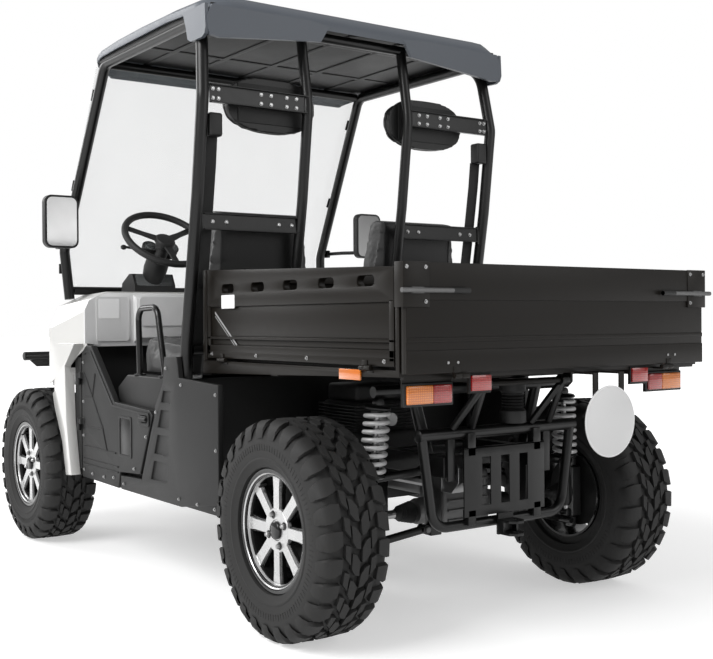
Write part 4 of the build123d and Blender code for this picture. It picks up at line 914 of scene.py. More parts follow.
inner = bmesh.new()
for turn in (-1, 1):
    pipe(inner, [(x, turn * INNER_Y, z) for x, z in REAR_PILLAR[1:]], 18.0, [300.0, 300.0], 20)
    for (low, high), x in (((1590.0, 1650.0), -438.0), ((1190.0, 1245.0), -383.0)):
        y0, y1 = span(turn, INNER_Y, 586.0)
        outline = [(y0, low), (y1, low), (y1, high), (y0, high)]
        prism(inner, outline, (x + 2.5, 0, 0), *ACROSS, -5.0, 0, 1.2, 2)
        for flange in ((low, low + 4), (high - 4, high)):
            box(inner, (x - 12, x), (y0 + 4, y1 - 4), flange, 0, 1.0, 1)
for x, z, reach in (
    (-396.0, 1868.0, 569.3), (392.0, 1872.0, 569.3), (748.0, 1022.0, 589.8), (-309.0, 800.0, 589.7),
):
    pipe(inner, ((x, -reach, z), (x, reach, z)), 17.0, sides=20)
piece("cage_inner", inner, "vehicle", (POWDER,), ("cage_middle",))

bolt_places = []
for turn in (-1, 1):
    for height, x in ((1605.0, -441.0), (1635.0, -441.0)):
        for y in (262.0, 300.0, 360.0, 398.0, 555.0, 575.0):
            bolt_places.append(((x, turn * y, height), (-1, 0, 0), 15.0))
    for y in (250.0, 300.0, 500.0, 550.0):
        bolt_places.append(((-386.0, turn * y, 1217.0), (-1, 0, 0), 15.0))
bolts("cage_bolts", bolt_places, "vehicle", STEEL)

# ---------------------------------------------------------------- guard, bumper, loops and supports
GUARD_X = -1140.0
PLATE_X = -1166.0
guard = bmesh.new()
pipe(guard, ((GUARD_X, -306, 567), (GUARD_X, 306, 567)), 18.0, sides=20)
for turn in (-1, 1):
    lathe(guard, ((18.2, 0), (18.2, 3), (14, 6)), (GUARD_X, turn * 306, 567), (0, turn, 0), 20)
    for reach in ((500, 567), (300, 345)):
        box(guard, (PLATE_X, GUARD_X), span(turn, 115, 145), reach, 0, 2)
    box(guard, (-1146, -1134), span(turn, 176, 204), (430, 567), 0, 2)
loop = [(GUARD_X, y, z) for y, z in ((296, 567), (256, 300), (-256, 300), (-296, 567))]
pipe(guard, loop, 15.0, 60.0, 20)
columns = (-160, -91, -57, -17, 17, 57, 91, 160)
pierced(guard, (325, 355, 495, 525), columns, {(1, 1), (3, 1), (5, 1)}, PLATE_X, 5)
box(guard, (PLATE_X, -1150), (-160, 160), (520, 525), 0, 1)
piece("rear_guard_bars", guard, "vehicle", (POWDER,), ("rear_guard",))

bumper = bmesh.new()
pipe(bumper, ((1455, -553, 739), (1455, 553, 739)), 20.0, sides=24)
pipe(bumper, ((1420, -240, 560), (1420, 240, 560)), 16.0, sides=20)
for turn in (-1, 1):
    lathe(bumper, ((20.3, -2), (20.3, 4), (16, 8)), (1455, turn * 553, 739), (0, turn, 0), 24)
    pipe(bumper, ((1455, turn * 330, 739), (1420, turn * 240, 560), (1352, turn * 190, 430)), 16.0, 60.0, 20)
    box(bumper, (1330.3, 1356), span(turn, 170, 210), (400, 460), 0, 2)
    outline = [(turn * a, b) for a, b in ((300, 727), (540, 727), (500, 690), (312, 690))]
    prism(bumper, outline, (1452, 0, 0), *ACROSS, 6.0, 0, 1.5)
piece("bumper_bars", bumper, "vehicle", (POWDER,), ("front_bumper",))

loops = bmesh.new()
pipe(loops, ((78, 600, 705.3), (88, 600, 940), (-68, 600, 945), (-128, 600, 707.3)), 11.0, 42.0, 20)
for x in (78, -126):
    lathe(loops, ((22, 0), (22, 4), (12, 7)), (x, 600, 704.4), (0, 0, 1), 24)
mirrored(loops)
piece("grab_bars", loops, "vehicle", (RIM_BLACK,), ("grab_loops",))

# ---------------------------------------------------------------- suspension
ARM_ENDS = (208.0, 414.0)
ARM_FOOT_Y = 224.3
ARM_FOOT_Z = 285.0


def between(start, end, y):
    """The point at y on the line from start to end."""
    share = (y - start[1]) / (end[1] - start[1])
    return Vector([a + (b - a) * share for a, b in zip(start, end)])


def arms(axle_x, spread, upper_z, outer_y, rear):
    """Both pairs of arms of one axle, with their bushes, plates and spring seats."""
    shape = bmesh.new()
    for end_z, foot_z in zip(ARM_ENDS, (ARM_FOOT_Z, upper_z)):
        for step in (-1, 1):
            foot_x = axle_x + step * spread
            foot = (foot_x, ARM_FOOT_Y, foot_z)
            pipe(shape, (foot, (axle_x, outer_y, end_z)), 12.0, sides=16)
            lathe(shape, ((10, -18), (14, -17), (14, 17), (10, 18)), foot, (1, 0, 0), 20)
            lathe(shape, ((8, -22), (8, 22)), foot, (1, 0, 0), 12, 1)
        ball = ((12, -18.6), (18, -15), (18, 15), (12, 18.6))
        lathe(shape, ball, (axle_x, outer_y, end_z), (0, 0, 1), 20, 1)
        half, plate_z = spread * 0.52, foot_z + (end_z - foot_z) * 0.52
        plate_y = (between((0, ARM_FOOT_Y, 0), (0, outer_y, 0), 380).y - 8, 392)
        box(shape, (axle_x - half, axle_x + half), plate_y, (plate_z - 3, plate_z + 3), 0, 1.5)
    if rear:
        box(shape, (axle_x - 26, axle_x + 26), (outer_y - 20, outer_y + 24), (226.8, 395.2), 1, 6, 3)
        lathe(shape, ((19.8, 0), (19.8, 104)), (axle_x, outer_y, AXLE_Z), (0, 1, 0), 24, 2)
        seat = between((axle_x - spread, ARM_FOOT_Y, ARM_FOOT_Z), (axle_x, outer_y, ARM_ENDS[0]), 405.0)
        pipe(shape, (seat - Vector((62, 0, 0)), seat), 10.0, sides=14)
    else:
        seat = between((axle_x - spread, ARM_FOOT_Y, upper_z), (axle_x, outer_y, ARM_ENDS[1]), 430.0)
        pipe(shape, (seat, (2 * axle_x - seat.x, seat.y, seat.z)), 10.0, sides=14)
    mirrored(shape)
    if not rear:
        pipe(shape, ((axle_x + 90, -210, 323), (axle_x + 90, 210, 323)), 15.0, sides=20, material=1)
        for turn in (-1, 1):
            bellows = ((15, 0), (17.5, 6), (13, 18), (16, 24), (12, 36), (14, 42), (9, 56))
            lathe(shape, bellows, (axle_x + 90, turn * 208, 323), (0, turn, 0), 20, 3)
    return shape


ARM_PAINTS = (POWDER, CAST, STEEL, GRIP)
for end_name, axle in (
    ("rear", (-930.0, 130.0, 455.0, 520.0, True)),
    ("front", (933.0, 60.0, 415.0, 600.0, False)),
):
    node = end_name + "_suspension"
    piece(end_name + "_arms", arms(*axle), "vehicle", ARM_PAINTS, (node,))

shocks = bmesh.new()
COIL_RADIUS = 33.5
SHOCKS = (
    # top, bottom, share of the length where the spring starts and ends, turns
    ((-1040.0, 372.0, 659.0), (-1020.6, 405.0, 262.2), (0.04, 0.52), 7.5),
    ((933.0, 300.0, 729.0), (933.0, 430.0, 438.8), (0.08, 0.76), 6.5),
)
for top, bottom, (spring_start, spring_end), coils in SHOCKS:
    top, bottom = Vector(top), Vector(bottom)
    run = bottom - top
    length = run.length
    axis = run.normalized()
    for end in (top, bottom):
        lathe(shocks, ((9, -13), (14, -11), (14, 11), (9, 13)), end, (1, 0, 0), 24, 1)
    seat = length * spring_end
    for outline, sides, paint in (
        (((8, 8), (8, length - 8)), 16, 2),
        (((12, 6), (34, 10), (38, 14), (38, 18), (20, 22), (20, length * spring_start + 16)), 32, 1),
        (((17, length * 0.40), (19, length * 0.42), (19, length * 0.9), (12, length * 0.94)), 28, 1),
        (((19, seat - 4), (38, seat - 2), (39, seat + 3), (30, seat + 8), (19, seat + 12)), 32, 1),
    ):
        lathe(shocks, outline, top, axis, sides, paint)
    first = axis.orthogonal().normalized()
    second = axis.cross(first)
    start, end = length * spring_start + 12, seat - 4
    steps = int(coils * 24)
    helix = []
    for step in range(steps + 1):
        angle = 2 * math.pi * coils * step / steps
        arm = (first * math.cos(angle) + second * math.sin(angle)) * COIL_RADIUS
        helix.append(top + axis * (start + (end - start) * step / steps) + arm)
    sweep(shocks, helix, round_section(6.6, 10), 0)
mirrored(shocks)
piece("coil_shocks", shocks, "vehicle", (SPRING, POWDER, STEEL), ("shock_absorbers",))

drives = bmesh.new()
box(drives, (-995, -865), (-96, 96), (255, 435), 0, 22, 4)
box(drives, (-865, -620.3), (-60, 60), (340, 420), 0, 14, 3)
box(drives, (883, 983), (-96, 96), (262, 409.7), 0, 22, 4)
for axle_x, reach in ((-930.0, 497.0), (933.0, 570.0)):
    pipe(drives, ((axle_x, -reach, AXLE_Z), (axle_x, reach, AXLE_Z)), 13.0, sides=20, material=2)
    middle = (axle_x, 0, AXLE_Z)
    lathe(drives, ((36, -160), (40, -150), (40, 150), (36, 160)), middle, (0, 1, 0), 32, 0)
    for turn in (-1, 1):
        bellows = [(20.0, 168.0)]
        for fold in range(5):
            bellows += [(34.0 - fold * 2.4, 174.0 + fold * 11), (25.0 - fold * 1.8, 180.0 + fold * 11)]
        lathe(drives, bellows + [(14.0, 236.0)], middle, (0, turn, 0), 28, 1)
        outer = [(14.0, reach - 78)]
        for fold in range(4):
            along = reach + fold * 11
            outer += [(24.0 + fold * 2.2, along - 70), (19.0 + fold * 2.0, along - 64)]
        lathe(drives, outer + [(34.0, reach - 22), (34.0, reach - 2)], middle, (0, turn, 0), 28, 1)
for index in range(5):
    box(drives, (-1001, -990), (-80, 80), (280 + index * 30, 286 + index * 30), 0, 1)
piece("drive_train", drives, "vehicle", (CAST, GRIP, STEEL), ("axle_drives",))

for side_name, turn in (("left", 1), ("right", -1)):
    knuckle = bmesh.new()
    centre = (933, turn * 600, AXLE_Z)
    upright = ((15, -84), (24, -76), (20, -40), (26, -20), (26, 20), (20, 40), (24, 76), (15, 84))
    lathe(knuckle, upright, centre, (0, 0, 1), 24)
    lathe(knuckle, ((19.8, 0), (19.8, 104)), centre, (0, turn, 0), 20, 1)
    lathe(knuckle, ((30, 0), (50, 22), (50, 74)), centre, (0, turn, 0), 36)
    box(knuckle, (920, 1036), span(turn, 587, 613), (304, 315), 0, 3)
    piece("knuckle_cast_" + side_name, knuckle, side_name + "_knuckle", (CAST, STEEL),
          ("knuckle_" + side_name,))

link = bmesh.new()
pipe(link, ((1023, -600, 323), (1023, 600, 323)), 8.0, sides=16)
for turn in (-1, 1):
    lathe(link, ((9, -7.5), (12, -5), (12, 6), (8, 9)), (1023, turn * 600, 323), (0, 0, 1), 20)
    lathe(link, ((9.5, 0), (11, 4), (11, 40), (9.5, 44)), (1023, turn * 540, 323), (0, turn, 0), 6)
piece("steering_rods", link, "steering_link", (STEEL,), ("tie_rods",))

# ---------------------------------------------------------------- nodes that keep their own form
for node, width, finish, segments in (
    # node, width of the eased edge in millimetres, finish, steps of the edge
    ("chassis_frame", 1.6, POWDER, 2),
    ("hitch_clevis", 0.8, POWDER, 2),
    ("bed_supports", 0.6, POWDER, 2),
    ("floor_pan", 1.2, PLASTIC, 2),
    ("seat_base", 5.0, PLASTIC, 2),
    ("pedals", 1.0, POWDER, 2),
    ("door_posts", 0.6, PLASTIC, 2),
    ("windshield_clamps", 1.0, GRIP, 2),
    ("front_body", 2.5, PEARL, 2),
    ("dash_panel", 1.0, DASH, 2),
    ("bed_floor", 0.5, BED_PAINT, 2),
    ("headboard", 1.5, BED_PAINT, 2),
    ("seat_side_left", 2.2, PANEL, 2),
    ("seat_side_right", 2.2, PANEL, 2),
    ("door_left", 3.0, PANEL, 3),
    ("door_right", 3.0, PANEL, 3),
    ("grille", 1.2, PLASTIC, 2),
    ("windshield", 0.8, CLEAR, 1),
    ("silencer", 1.0, STEEL, 2),
):
    eased(node, width, finish, segments)

# ---------------------------------------------------------------- roof
ROOF_STATIONS = (
    # x, half width, height along the middle, height of the shoulder, foot of the side
    (-488.0, 560.0, 1890.0, 1876.0, 1866.0),
    (-478.0, 592.0, 1906.0, 1890.0, 1868.0),
    (-450.0, 615.0, 1932.0, 1902.0, 1872.0),
    (-418.0, 622.0, 1939.0, 1906.0, 1878.0),
    (-406.0, 622.0, 1940.0, 1906.0, 1878.0),
    (-205.0, 625.0, 1949.0, 1913.0, 1888.0),
    (0.0, 625.0, 1940.0, 1917.0, 1888.0),
    (200.0, 625.0, 1931.0, 1916.0, 1888.0),
    (357.0, 623.0, 1924.0, 1910.0, 1886.0),
    (365.0, 622.0, 1924.0, 1909.0, 1885.0),
    (377.0, 621.0, 1923.0, 1907.0, 1884.0),
    (410.0, 616.0, 1920.0, 1898.0, 1878.0),
    (440.0, 600.0, 1912.0, 1886.0, 1868.0),
    (458.0, 576.0, 1896.0, 1870.0, 1858.0),
    (468.0, 548.0, 1870.0, 1856.0, 1846.0),
)
ROOF_WALL = 6.0
ROOF_DECK_Z = 1904.0
ROOF_DECK_X = (-412.0, 372.0)
ROOF_REAR = (
    (150, 1880), (166, 1868), (192, 1826), (400, 1806), (575, 1787),
    (606, 1792), (616, 1812), (618, 1850), (600, 1888), (240, 1892),
)
ROOF_CORNER = (
    (-488, 1812), (-480, 1794), (-462, 1786), (-384, 1788),
    (-364, 1798), (-350, 1846), (-330, 1889), (-484, 1889),
)


def roof_ring(x, half, crown, shoulder, foot):
    """One closed cross section of the roof's shell: its outside, then its inside."""
    rise = crown - shoulder
    deck = ROOF_DECK_Z if ROOF_DECK_X[0] < x < ROOF_DECK_X[1] else crown
    rib = max(deck, min(deck + 6, crown))
    profile = (
        (half - 1, foot), (half, foot + 4), (half, shoulder - 5), (half - 5, shoulder + 1),
        (half - 14, shoulder + 5), (half - 40, shoulder + rise * 0.62), (half - 62, crown - 2),
        (half - 88, crown - 1), (half - 101, deck), (420.0, deck), (408.0, rib), (392.0, rib),
        (380.0, deck), (120.0, deck),
    )
    outer = [(-y, z) for y, z in profile] + [(y, z) for y, z in profile[::-1]]
    inside = (
        (half - ROOF_WALL, foot),
        (half - ROOF_WALL - 2, min(shoulder - 12, 1893)),
        (half - 90, min(shoulder - 9, 1897)),
    )
    inner = [(y, z) for y, z in inside] + [(-y, z) for y, z in inside[::-1]]
    return [(x, y, z) for y, z in outer + inner]


roof = bmesh.new()
part = bmesh.new()
skinned(part, [[part.verts.new(point) for point in roof_ring(*station)] for station in ROOF_STATIONS])
merged(roof, part, 0)
box(roof, (-474, 452), (-596, 596), (1893.5, 1898), 1, 1)
for rib_y in (-420, -210, 0, 210, 420):
    box(roof, (-440, 430), (rib_y - 12, rib_y + 12), (1889.5, 1894.5), 1, 2)
for rib_x in (-250, 150):
    box(roof, (rib_x - 14, rib_x + 14), (-560, 560), (1890.0, 1894.5), 1, 2)
for turn in (-1, 1):
    rear = [(turn * a, b) for a, b in ROOF_REAR][::turn]
    prism(roof, rear, (-489, 0, 0), *ACROSS, 14.0, 0, 6.0, 4)
    side_cut(roof, ROOF_CORNER, turn * 624, turn * -12.0, 0, 5.0)
    visor = [(-430, 1868), (395, 1872), (395, 1889), (-430, 1889)]
    side_cut(roof, visor, turn * 612, turn * -5.0, 1, 1.0)
front = rounded((-545, 545), (1838, 1872), 14)
prism(roof, front, (463, 0, 0), *ACROSS, 7.0, 0, 2.5)
ridge = [(-340, 1938), (-322, 1974), (-190, 1978), (-120, 1944)]
side_cut(roof, ridge, 96, -150.0, 1, 6.0)
piece("roof_shell", roof, "vehicle", (ROOF_PLASTIC, CEILING), ("roof",), 42.0)

# ---------------------------------------------------------------- padded pieces
SEAT_Y = 337.0
SEAT_HALF = 215.0
BOLSTER = 152.0
REST_Y, REST_Z = 330, 1612
VOXEL = 6.0
SWELL_FRAMES = 20


def swollen(name, shape, node, held, cap, paint):
    """A stuffed form: remeshed, blown up as cloth with its held points still, and smoothed."""
    obj = linked(name, mesh_of(shape, ()))
    remesh = obj.modifiers.new("remesh", "REMESH")
    remesh.mode = "VOXEL"
    remesh.voxel_size = VOXEL * MM
    settled(obj)
    start = [vert.co.copy() for vert in obj.data.vertices]
    group = obj.vertex_groups.new(name="held")
    group.add([index for index, point in enumerate(start) if held(point)], 1.0, "REPLACE")
    cloth = obj.modifiers.new("cloth", "CLOTH")
    cloth.settings.quality = 4
    cloth.settings.mass = 0.3
    cloth.settings.tension_stiffness = 12.0
    cloth.settings.compression_stiffness = 12.0
    cloth.settings.bending_stiffness = 0.6
    cloth.settings.use_pressure = True
    cloth.settings.uniform_pressure_force = 4.0
    cloth.settings.vertex_group_mass = "held"
    cloth.settings.effector_weights.gravity = 0.0
    cloth.point_cache.frame_start = 1
    cloth.point_cache.frame_end = SWELL_FRAMES
    for step in range(1, SWELL_FRAMES + 1):
        SCENE.frame_set(step)
    settled(obj)
    for vert, before in zip(obj.data.vertices, start):
        travel = vert.co - before
        if travel.length > cap * MM:
            vert.co = before + travel.normalized() * cap * MM
    SCENE.frame_set(1)
    smoother = obj.modifiers.new("smoother", "SUBSURF")
    smoother.levels = smoother.render_levels = 1
    settled(obj)
    mesh = obj.data.copy()
    bpy.data.objects.remove(obj)
    for polygon in mesh.polygons:
        polygon.material_index = paint(polygon.center)
    pad = placed(name, mesh, "vehicle", (VINYL, VINYL_PAINTED_SHEEN), (node,), 80.0)
    return pad


def stitched(name, pad, routes, radius):
    """Piping sewn onto a pad: each route is drawn onto its surface and raised a little."""
    tree = BVHTree.FromPolygons(
        [vert.co for vert in pad.data.vertices], [polygon.vertices[:] for polygon in pad.data.polygons]
    )
    shape = bmesh.new()
    for route in routes:
        line = []
        for start, end in zip(route, route[1:]):
            start, end = Vector(start), Vector(end)
            steps = max(1, int((end - start).length / 14))
            line += [start.lerp(end, step / steps) for step in range(steps)]
        line.append(Vector(route[-1]))
        drawn = []
        for point in line:
            place, normal = tree.find_nearest(point * MM)[:2]
            drawn.append((place + normal * radius * 0.35 * MM) / MM)
        sweep(shape, drawn, round_section(radius, 8), 0)
    piece(name, shape, "vehicle", (VINYL,))


CUSHION = [(-254, 712), (150, 712), (163, 778), (142, 832), (-150, 816), (-254, 820)]
BACK = [(-270, 846), (-172, 838), (-216, 1002), (-264, 1256), (-290, 1272), (-334, 1262), (-314, 1052)]
for side_name, turn in (("left", 1), ("right", -1)):
    middle = turn * SEAT_Y

    # faces beyond the piping lines take the lighter grey vinyl, a painted satin highlight
    def painted_sheen_sides(place, middle=middle):
        return 1 if abs(place.y / MM - middle) > BOLSTER else 0

    cushion = bmesh.new()
    side_cut(cushion, CUSHION, middle - SEAT_HALF + 10, 2 * SEAT_HALF - 20, 0, 22)
    pad = swollen("seat_cushion_pad_" + side_name, cushion, "seat_cushion_" + side_name,
                  lambda point: point.z < 714 * MM, 9.0, painted_sheen_sides)
    routes = [
        [(x, middle + edge, z) for x, z in ((-250, 838), (-150, 832), (148, 848), (170, 780))]
        for edge in (-BOLSTER, BOLSTER)
    ]
    routes += [[(x, middle - BOLSTER, 845), (x, middle + BOLSTER, 845)] for x in (-110, -20, 70)]
    stitched("cushion_piping_" + side_name, pad, routes, 2.2)
    slab = bmesh.new()
    side_cut(slab, BACK, middle - SEAT_HALF + 10, 2 * SEAT_HALF - 20, 0, 24)
    for vert in slab.verts:
        over = max(0.0, vert.co.z - 1120.0) / 155.0
        vert.co.y = middle + (vert.co.y - middle) * (1 - 0.20 * over * over)
    pad = swollen("seat_back_pad_" + side_name, slab, "seat_back_" + side_name,
                  lambda point: point.z < 848 * MM, 9.0, painted_sheen_sides)
    routes = [
        [(-160, middle + edge, 836), (-200, middle + edge, 1000), (-245, middle + edge * 0.98, 1255)]
        for edge in (-BOLSTER, BOLSTER)
    ]
    routes += [
        [(x, middle + edge, z) for x, z in ((-330, 1252), (-330, 1050), (-270, 846))]
        for edge in (-BOLSTER, BOLSTER)
    ]
    routes += [
        [(-190 - step * 18, middle + edge, 930 + step * 95) for edge in (-BOLSTER, BOLSTER)]
        for step in range(3)
    ]
    stitched("back_piping_" + side_name, pad, routes, 2.2)
    rest = bmesh.new()
    oval = []
    for step in range(48):
        angle = 2 * math.pi * step / 48
        c, s = math.cos(angle), math.sin(angle)
        oval.append((170 * math.copysign(abs(c) ** 0.75, c), 90 * math.copysign(abs(s) ** 0.8, s)))
    prism(rest, oval, (-396, turn * REST_Y, REST_Z), *ACROSS, 46.0, 0, 14, 3)
    head = swollen("headrest_pad_" + side_name, rest, "headrests",
                   lambda point: point.x < -393 * MM, 8.0, lambda place: 0)
    ring = [(-372, turn * REST_Y + a * 1.03, REST_Z + b * 1.03) for a, b in oval + oval[:1]]
    stitched("headrest_piping_" + side_name, head, [ring], 2.0)

stems = bmesh.new()
for turn in (-1, 1):
    box(stems, (-434, -397), span(turn, 262, 398), (1596, 1644), 0, 5, 3)
    box(stems, (-400, -396), span(turn, 200, 460), (1548, 1676), 0, 1.5)
piece("headrest_brackets", stems, "vehicle", (PLASTIC,))

belts = bmesh.new()
for turn in (-1, 1):
    box(belts, (-445, -399), span(turn, 541, 588), (1484, 1560), 1, 8, 3)
    lathe(belts, ((18, 0), (22, 3), (22, 12), (18, 15)), (-422, turn * 548, 1520), (0, turn, 0), 24, 1)
    strap = [Vector((x, turn * 563, z)) for x, z in (
        (-402, 1488), (-392, 1400), (-360, 1200), (-322, 980), (-286, 800), (-268, 706))]
    line = []
    for start, end in zip(strap, strap[1:]):
        line += [start.lerp(end, step / 8) for step in range(8)]
    line.append(strap[-1])
    sweep(belts, line, [(-1.2, -23), (1.2, -23), (1.2, 23), (-1.2, 23)], 0, (0, 1, 0))
    box(belts, (-330, -300), span(turn, 536, 590), (1000, 1016), 1, 4)
    box(belts, (-280, -254), span(turn, 536, 590), (704.6, 722), 2, 3)
    box(belts, (-246, -238), span(turn, 96, 108), (705, 832), 1, 3)
    box(belts, (-261, -223), span(turn, 92, 112), (828, 894), 1, 6, 3)
    box(belts, (-252, -232), span(turn, 95, 109), (892, 897), 3, 1.5)
piece("belt_sets", belts, "vehicle", (WEBBING, PLASTIC, STEEL, RED), ("seat_belts",))

# ---------------------------------------------------------------- side panels and doors
DOOR_RIDGES = (
    ((480, 700), (400, 612), (300, 498)),
    ((480, 612), (400, 612), (372, 700)),
    ((480, 498), (300, 498), (262, 420), (180, 420)),
    ((480, 420), (262, 420)),
    ((490, 372), (160, 372)),
    ((490, 352), (160, 352)),
)
DOOR_FACE = 651.0
DOOR_ARCH = (
    (472, 770), (460, 778), (420, 778), (214, 586), (-92, 572),
    (-92, 580), (206, 594), (412, 786), (466, 786), (480, 776),
)
DOOR_BOLTS = (
    (486, 330), (486, 460), (486, 590), (486, 740), (400, 322), (290, 322), (200, 330), (20, 380), (-80, 500),
)
PANEL_BOLTS = (
    (-330, 320), (-460, 320), (-575, 320), (-585, 500), (-585, 670), (-350, 690), (-240, 740), (-160, 590),
    (110, 318),
)
for side_name, turn in (("left", 1), ("right", -1)):
    trim = bmesh.new()
    for ridge in DOOR_RIDGES:
        line = [Vector((x, turn * (DOOR_FACE - 0.5), z)) for x, z in ridge]
        sweep(trim, line, round_section(3.2, 8), 0)
    holed(trim, rounded((40, 150), (412, 560), 10), [rounded((50, 140), (422, 550), 6)],
          (0, turn * 653, 0), *ALONG, turn * 4.0, 0, 1.4)
    box(trim, (50, 140), span(turn, 648, 651.2), (422, 550), 2, 0.5)
    side_cut(trim, DOOR_ARCH, turn * 649.5, turn * 3.0, 0, 1.0)
    holed(trim, rounded((-112, -22), (536, 584), 12), [rounded((-98, -50), (548, 574), 6)],
          (0, turn * 656, 0), *ALONG, turn * 6.0, 1, 1.5)
    pipe(trim, ((-98, turn * 660, 561), (-46, turn * 660, 561)), 5.0, sides=14, material=1)
    piece("door_trim_" + side_name, trim, side_name + "_door", (PANEL, PLASTIC, POWDER))
    places = [((x, turn * DOOR_FACE, z), (0, turn, 0), 13.0) for x, z in DOOR_BOLTS]
    bolts("door_bolts_" + side_name, places, side_name + "_door", STEEL)
    places = [((x, turn * DOOR_FACE, z), (0, turn, 0), 12.0) for x, z in PANEL_BOLTS]
    bolts("side_panel_bolts_" + side_name, places, "vehicle", STEEL)

# ---------------------------------------------------------------- nose and dash
lamps = bmesh.new()
for turn in (-1, 1):
    box(lamps, (1376, 1411), span(turn, 252, 388), (682, 766), 1, 5, 3)
    for reach in (288, 352):
        centre = (1408, turn * reach, 724)
        lathe(lamps, ((27, 0), (27, 3), (22, 4.5), (8, 5.2)), centre, (1, 0, 0), 36, 0)
        lathe(lamps, ((31, -2), (31, 2), (28, 3.4), (27, 2), (27, -2)), centre, (1, 0, 0), 36, 2, True)
piece("headlamp_units", lamps, "vehicle", (LAMP, PLASTIC, STEEL), ("headlamps",))

dash = bmesh.new()
prism(dash, rounded((-180, 168), (838, 984), 12), (470, 0, 0), *ACROSS, -3.0, 0, 1.4)
prism(dash, rounded((470, 606), (820, 992), 14), (470, 0, 0), *ACROSS, -6.0, 0, 2.4, 3)
prism(dash, rounded((512, 596), (908, 984), 4), (463.8, 0, 0), *ACROSS, -0.8, 2, 0.2)
prism(dash, rounded((-598, -488), (846, 984), 12), (470, 0, 0), *ACROSS, -4.0, 1, 2.0)
holed(dash, rounded((-482, -178), (828, 942), 12), [rounded((-468, -192), (842, 928), 6)],
      (470, 0, 0), *ACROSS, -4.0, 1, 1.4)
prism(dash, rounded((238, 442), (878, 992), 18), (437, 0, 0), *ACROSS, -5.0, 0, 2.0)
for y in (-120, -60, 0, 60, 120):
    lathe(dash, ((13, 0), (13, 9), (10, 12)), (467.5, y, 872), (-1, 0, 0), 24, 1)
for turn in (-1, 1):
    corner = ((598, 806), (651, 814), (651, 940), (636, 976), (598, 996))
    corner = [(turn * a, b) for a, b in corner][::turn]
    prism(dash, corner, (466, 0, 0), *ACROSS, 15.0, 0, 4.0, 3)
piece("dash_details", dash, "vehicle", (DASH, PLASTIC, LABEL, CLEAR), (), 35.0)

# ---------------------------------------------------------------- steering
CENTRE = Vector((408, 340, 1219))
LEAN = math.radians(49.8)
COLUMN = Vector((math.cos(LEAN), 0, -math.sin(LEAN)))
RIM_UP = Vector((math.sin(LEAN), 0, math.cos(LEAN)))
RIM_SIDE = Vector((0, 1, 0))
RIM_RADIUS = 162
RIM_STEPS = 72


def rim_arm(angle):
    """The way from the hub to the rim at an angle."""
    return RIM_SIDE * math.cos(angle) + RIM_UP * math.sin(angle)


helm = bmesh.new()
part = bmesh.new()
rings = []
for step in range(RIM_STEPS):
    arm = rim_arm(2 * math.pi * step / RIM_STEPS)
    section = round_section(13.5, 14)
    rings.append([part.verts.new(CENTRE + arm * (RIM_RADIUS + a) + COLUMN * b) for a, b in section])
skinned(part, rings, True)
merged(helm, part, 0)
for spoke in range(3):
    arm = rim_arm(math.radians(-90 + 120 * spoke))
    wide = arm.cross(COLUMN)
    outline = [(-17, 20), (17, 20), (11, 90), (12, 160), (-12, 160), (-11, 90)]
    depth = 8.0 if wide.cross(arm).dot(COLUMN) > 0 else -8.0
    prism(helm, outline, CENTRE + COLUMN * 6, wide, arm, depth, 1, 2.5)
lathe(helm, ((40, 4), (42, 8), (42, 14), (32, 18), (32, 34)), CENTRE, COLUMN, 36, 1)
lathe(helm, ((12, -4), (34, -1), (38, 4)), CENTRE, COLUMN, 36, 0)
lathe(helm, ((8, 34), (8, 70)), CENTRE, COLUMN, 16, 2)
helm_finishes = (GRIP, PLASTIC, STEEL)
piece("steering_wheel_rim", helm, "steering_wheel", helm_finishes, ("steering_wheel",))

column = bmesh.new()
tube = ((25, 40), (27, 44), (27, 120), (22, 128), (22, 235), (9.5, 235), (9.5, 40))
lathe(column, tube, CENTRE, COLUMN, 28, 0, True)
lathe(column, ((30, 86), (46, 96), (47, 150), (36, 222)), CENTRE, COLUMN, 36)
for side, radius in ((-46, 38), (34, 30)):
    dial = CENTRE + RIM_SIDE * side + RIM_UP * 34 + COLUMN * 96
    lathe(column, ((radius, 0), (radius + 3, -34), (radius, -38), (radius - 3, -35)), dial, COLUMN, 32)
    lathe(column, ((radius - 3, -35.0), (radius - 4, -35.6)), dial, COLUMN, 32, 1)
pod = [(505, 1014), (640, 1008), (630, 1050), (560, 1086), (530, 1086), (505, 1040)]
side_cut(column, pod, 252, 176.0, 0, 10.0)
lean_up = Vector((25, 0, 46)).normalized()
prism(column, rounded((262, 418), (0, 52), 10), (504.5, 0, 1038), (0, 1, 0), lean_up, -2.0, 1, 0.6)
stalk_start = CENTRE + COLUMN * 62 + Vector((0, 15, 0))
pipe(column, (stalk_start, stalk_start + Vector((-10, 142, 13))), 5.0, sides=14)
lathe(column, ((6, 0), (9, 4), (10, 12), (6, 20)), stalk_start + Vector((-10, 138, 12)), (0, 1, 0), 20)
piece("steering_column_cover", column, "vehicle", (PLASTIC, CLEAR), ("steering_column",))

# ---------------------------------------------------------------- windshield and mirrors
mirrors = bmesh.new()
prism(mirrors, rounded((656, 789), (1178, 1379), 28, 7), (509, 0, 0), *ACROSS, 28.0, 0, 9.0, 4)
prism(mirrors, rounded((664, 781), (1186, 1371), 22, 7), (508, 0, 0), *ACROSS, -1.8, 1, 0.5)
holed(mirrors, rounded((657, 788), (1179, 1378), 27, 7), [rounded((663, 782), (1185, 1372), 22, 7)],
      (509, 0, 0), *ACROSS, -3.0, 0, 0.8)
pipe(mirrors, ((528, 706, 1206), (600, 700, 1206), (640, 668, 1206), (742, 650, 1206)), 8.0, 26.0, 18, 2)
box(mirrors, (729, 761), (641, 659), (1189, 1223), 2, 4)
mirrored(mirrors)
piece("mirror_pair", mirrors, "vehicle", (PLASTIC, MIRROR, POWDER), ("mirrors",))
marks = bmesh.new()
box(marks, (758, 766), (-646, -642), (1267, 1322), 0, 1)
piece("pillar_reflector", marks, "vehicle", (AMBER,))

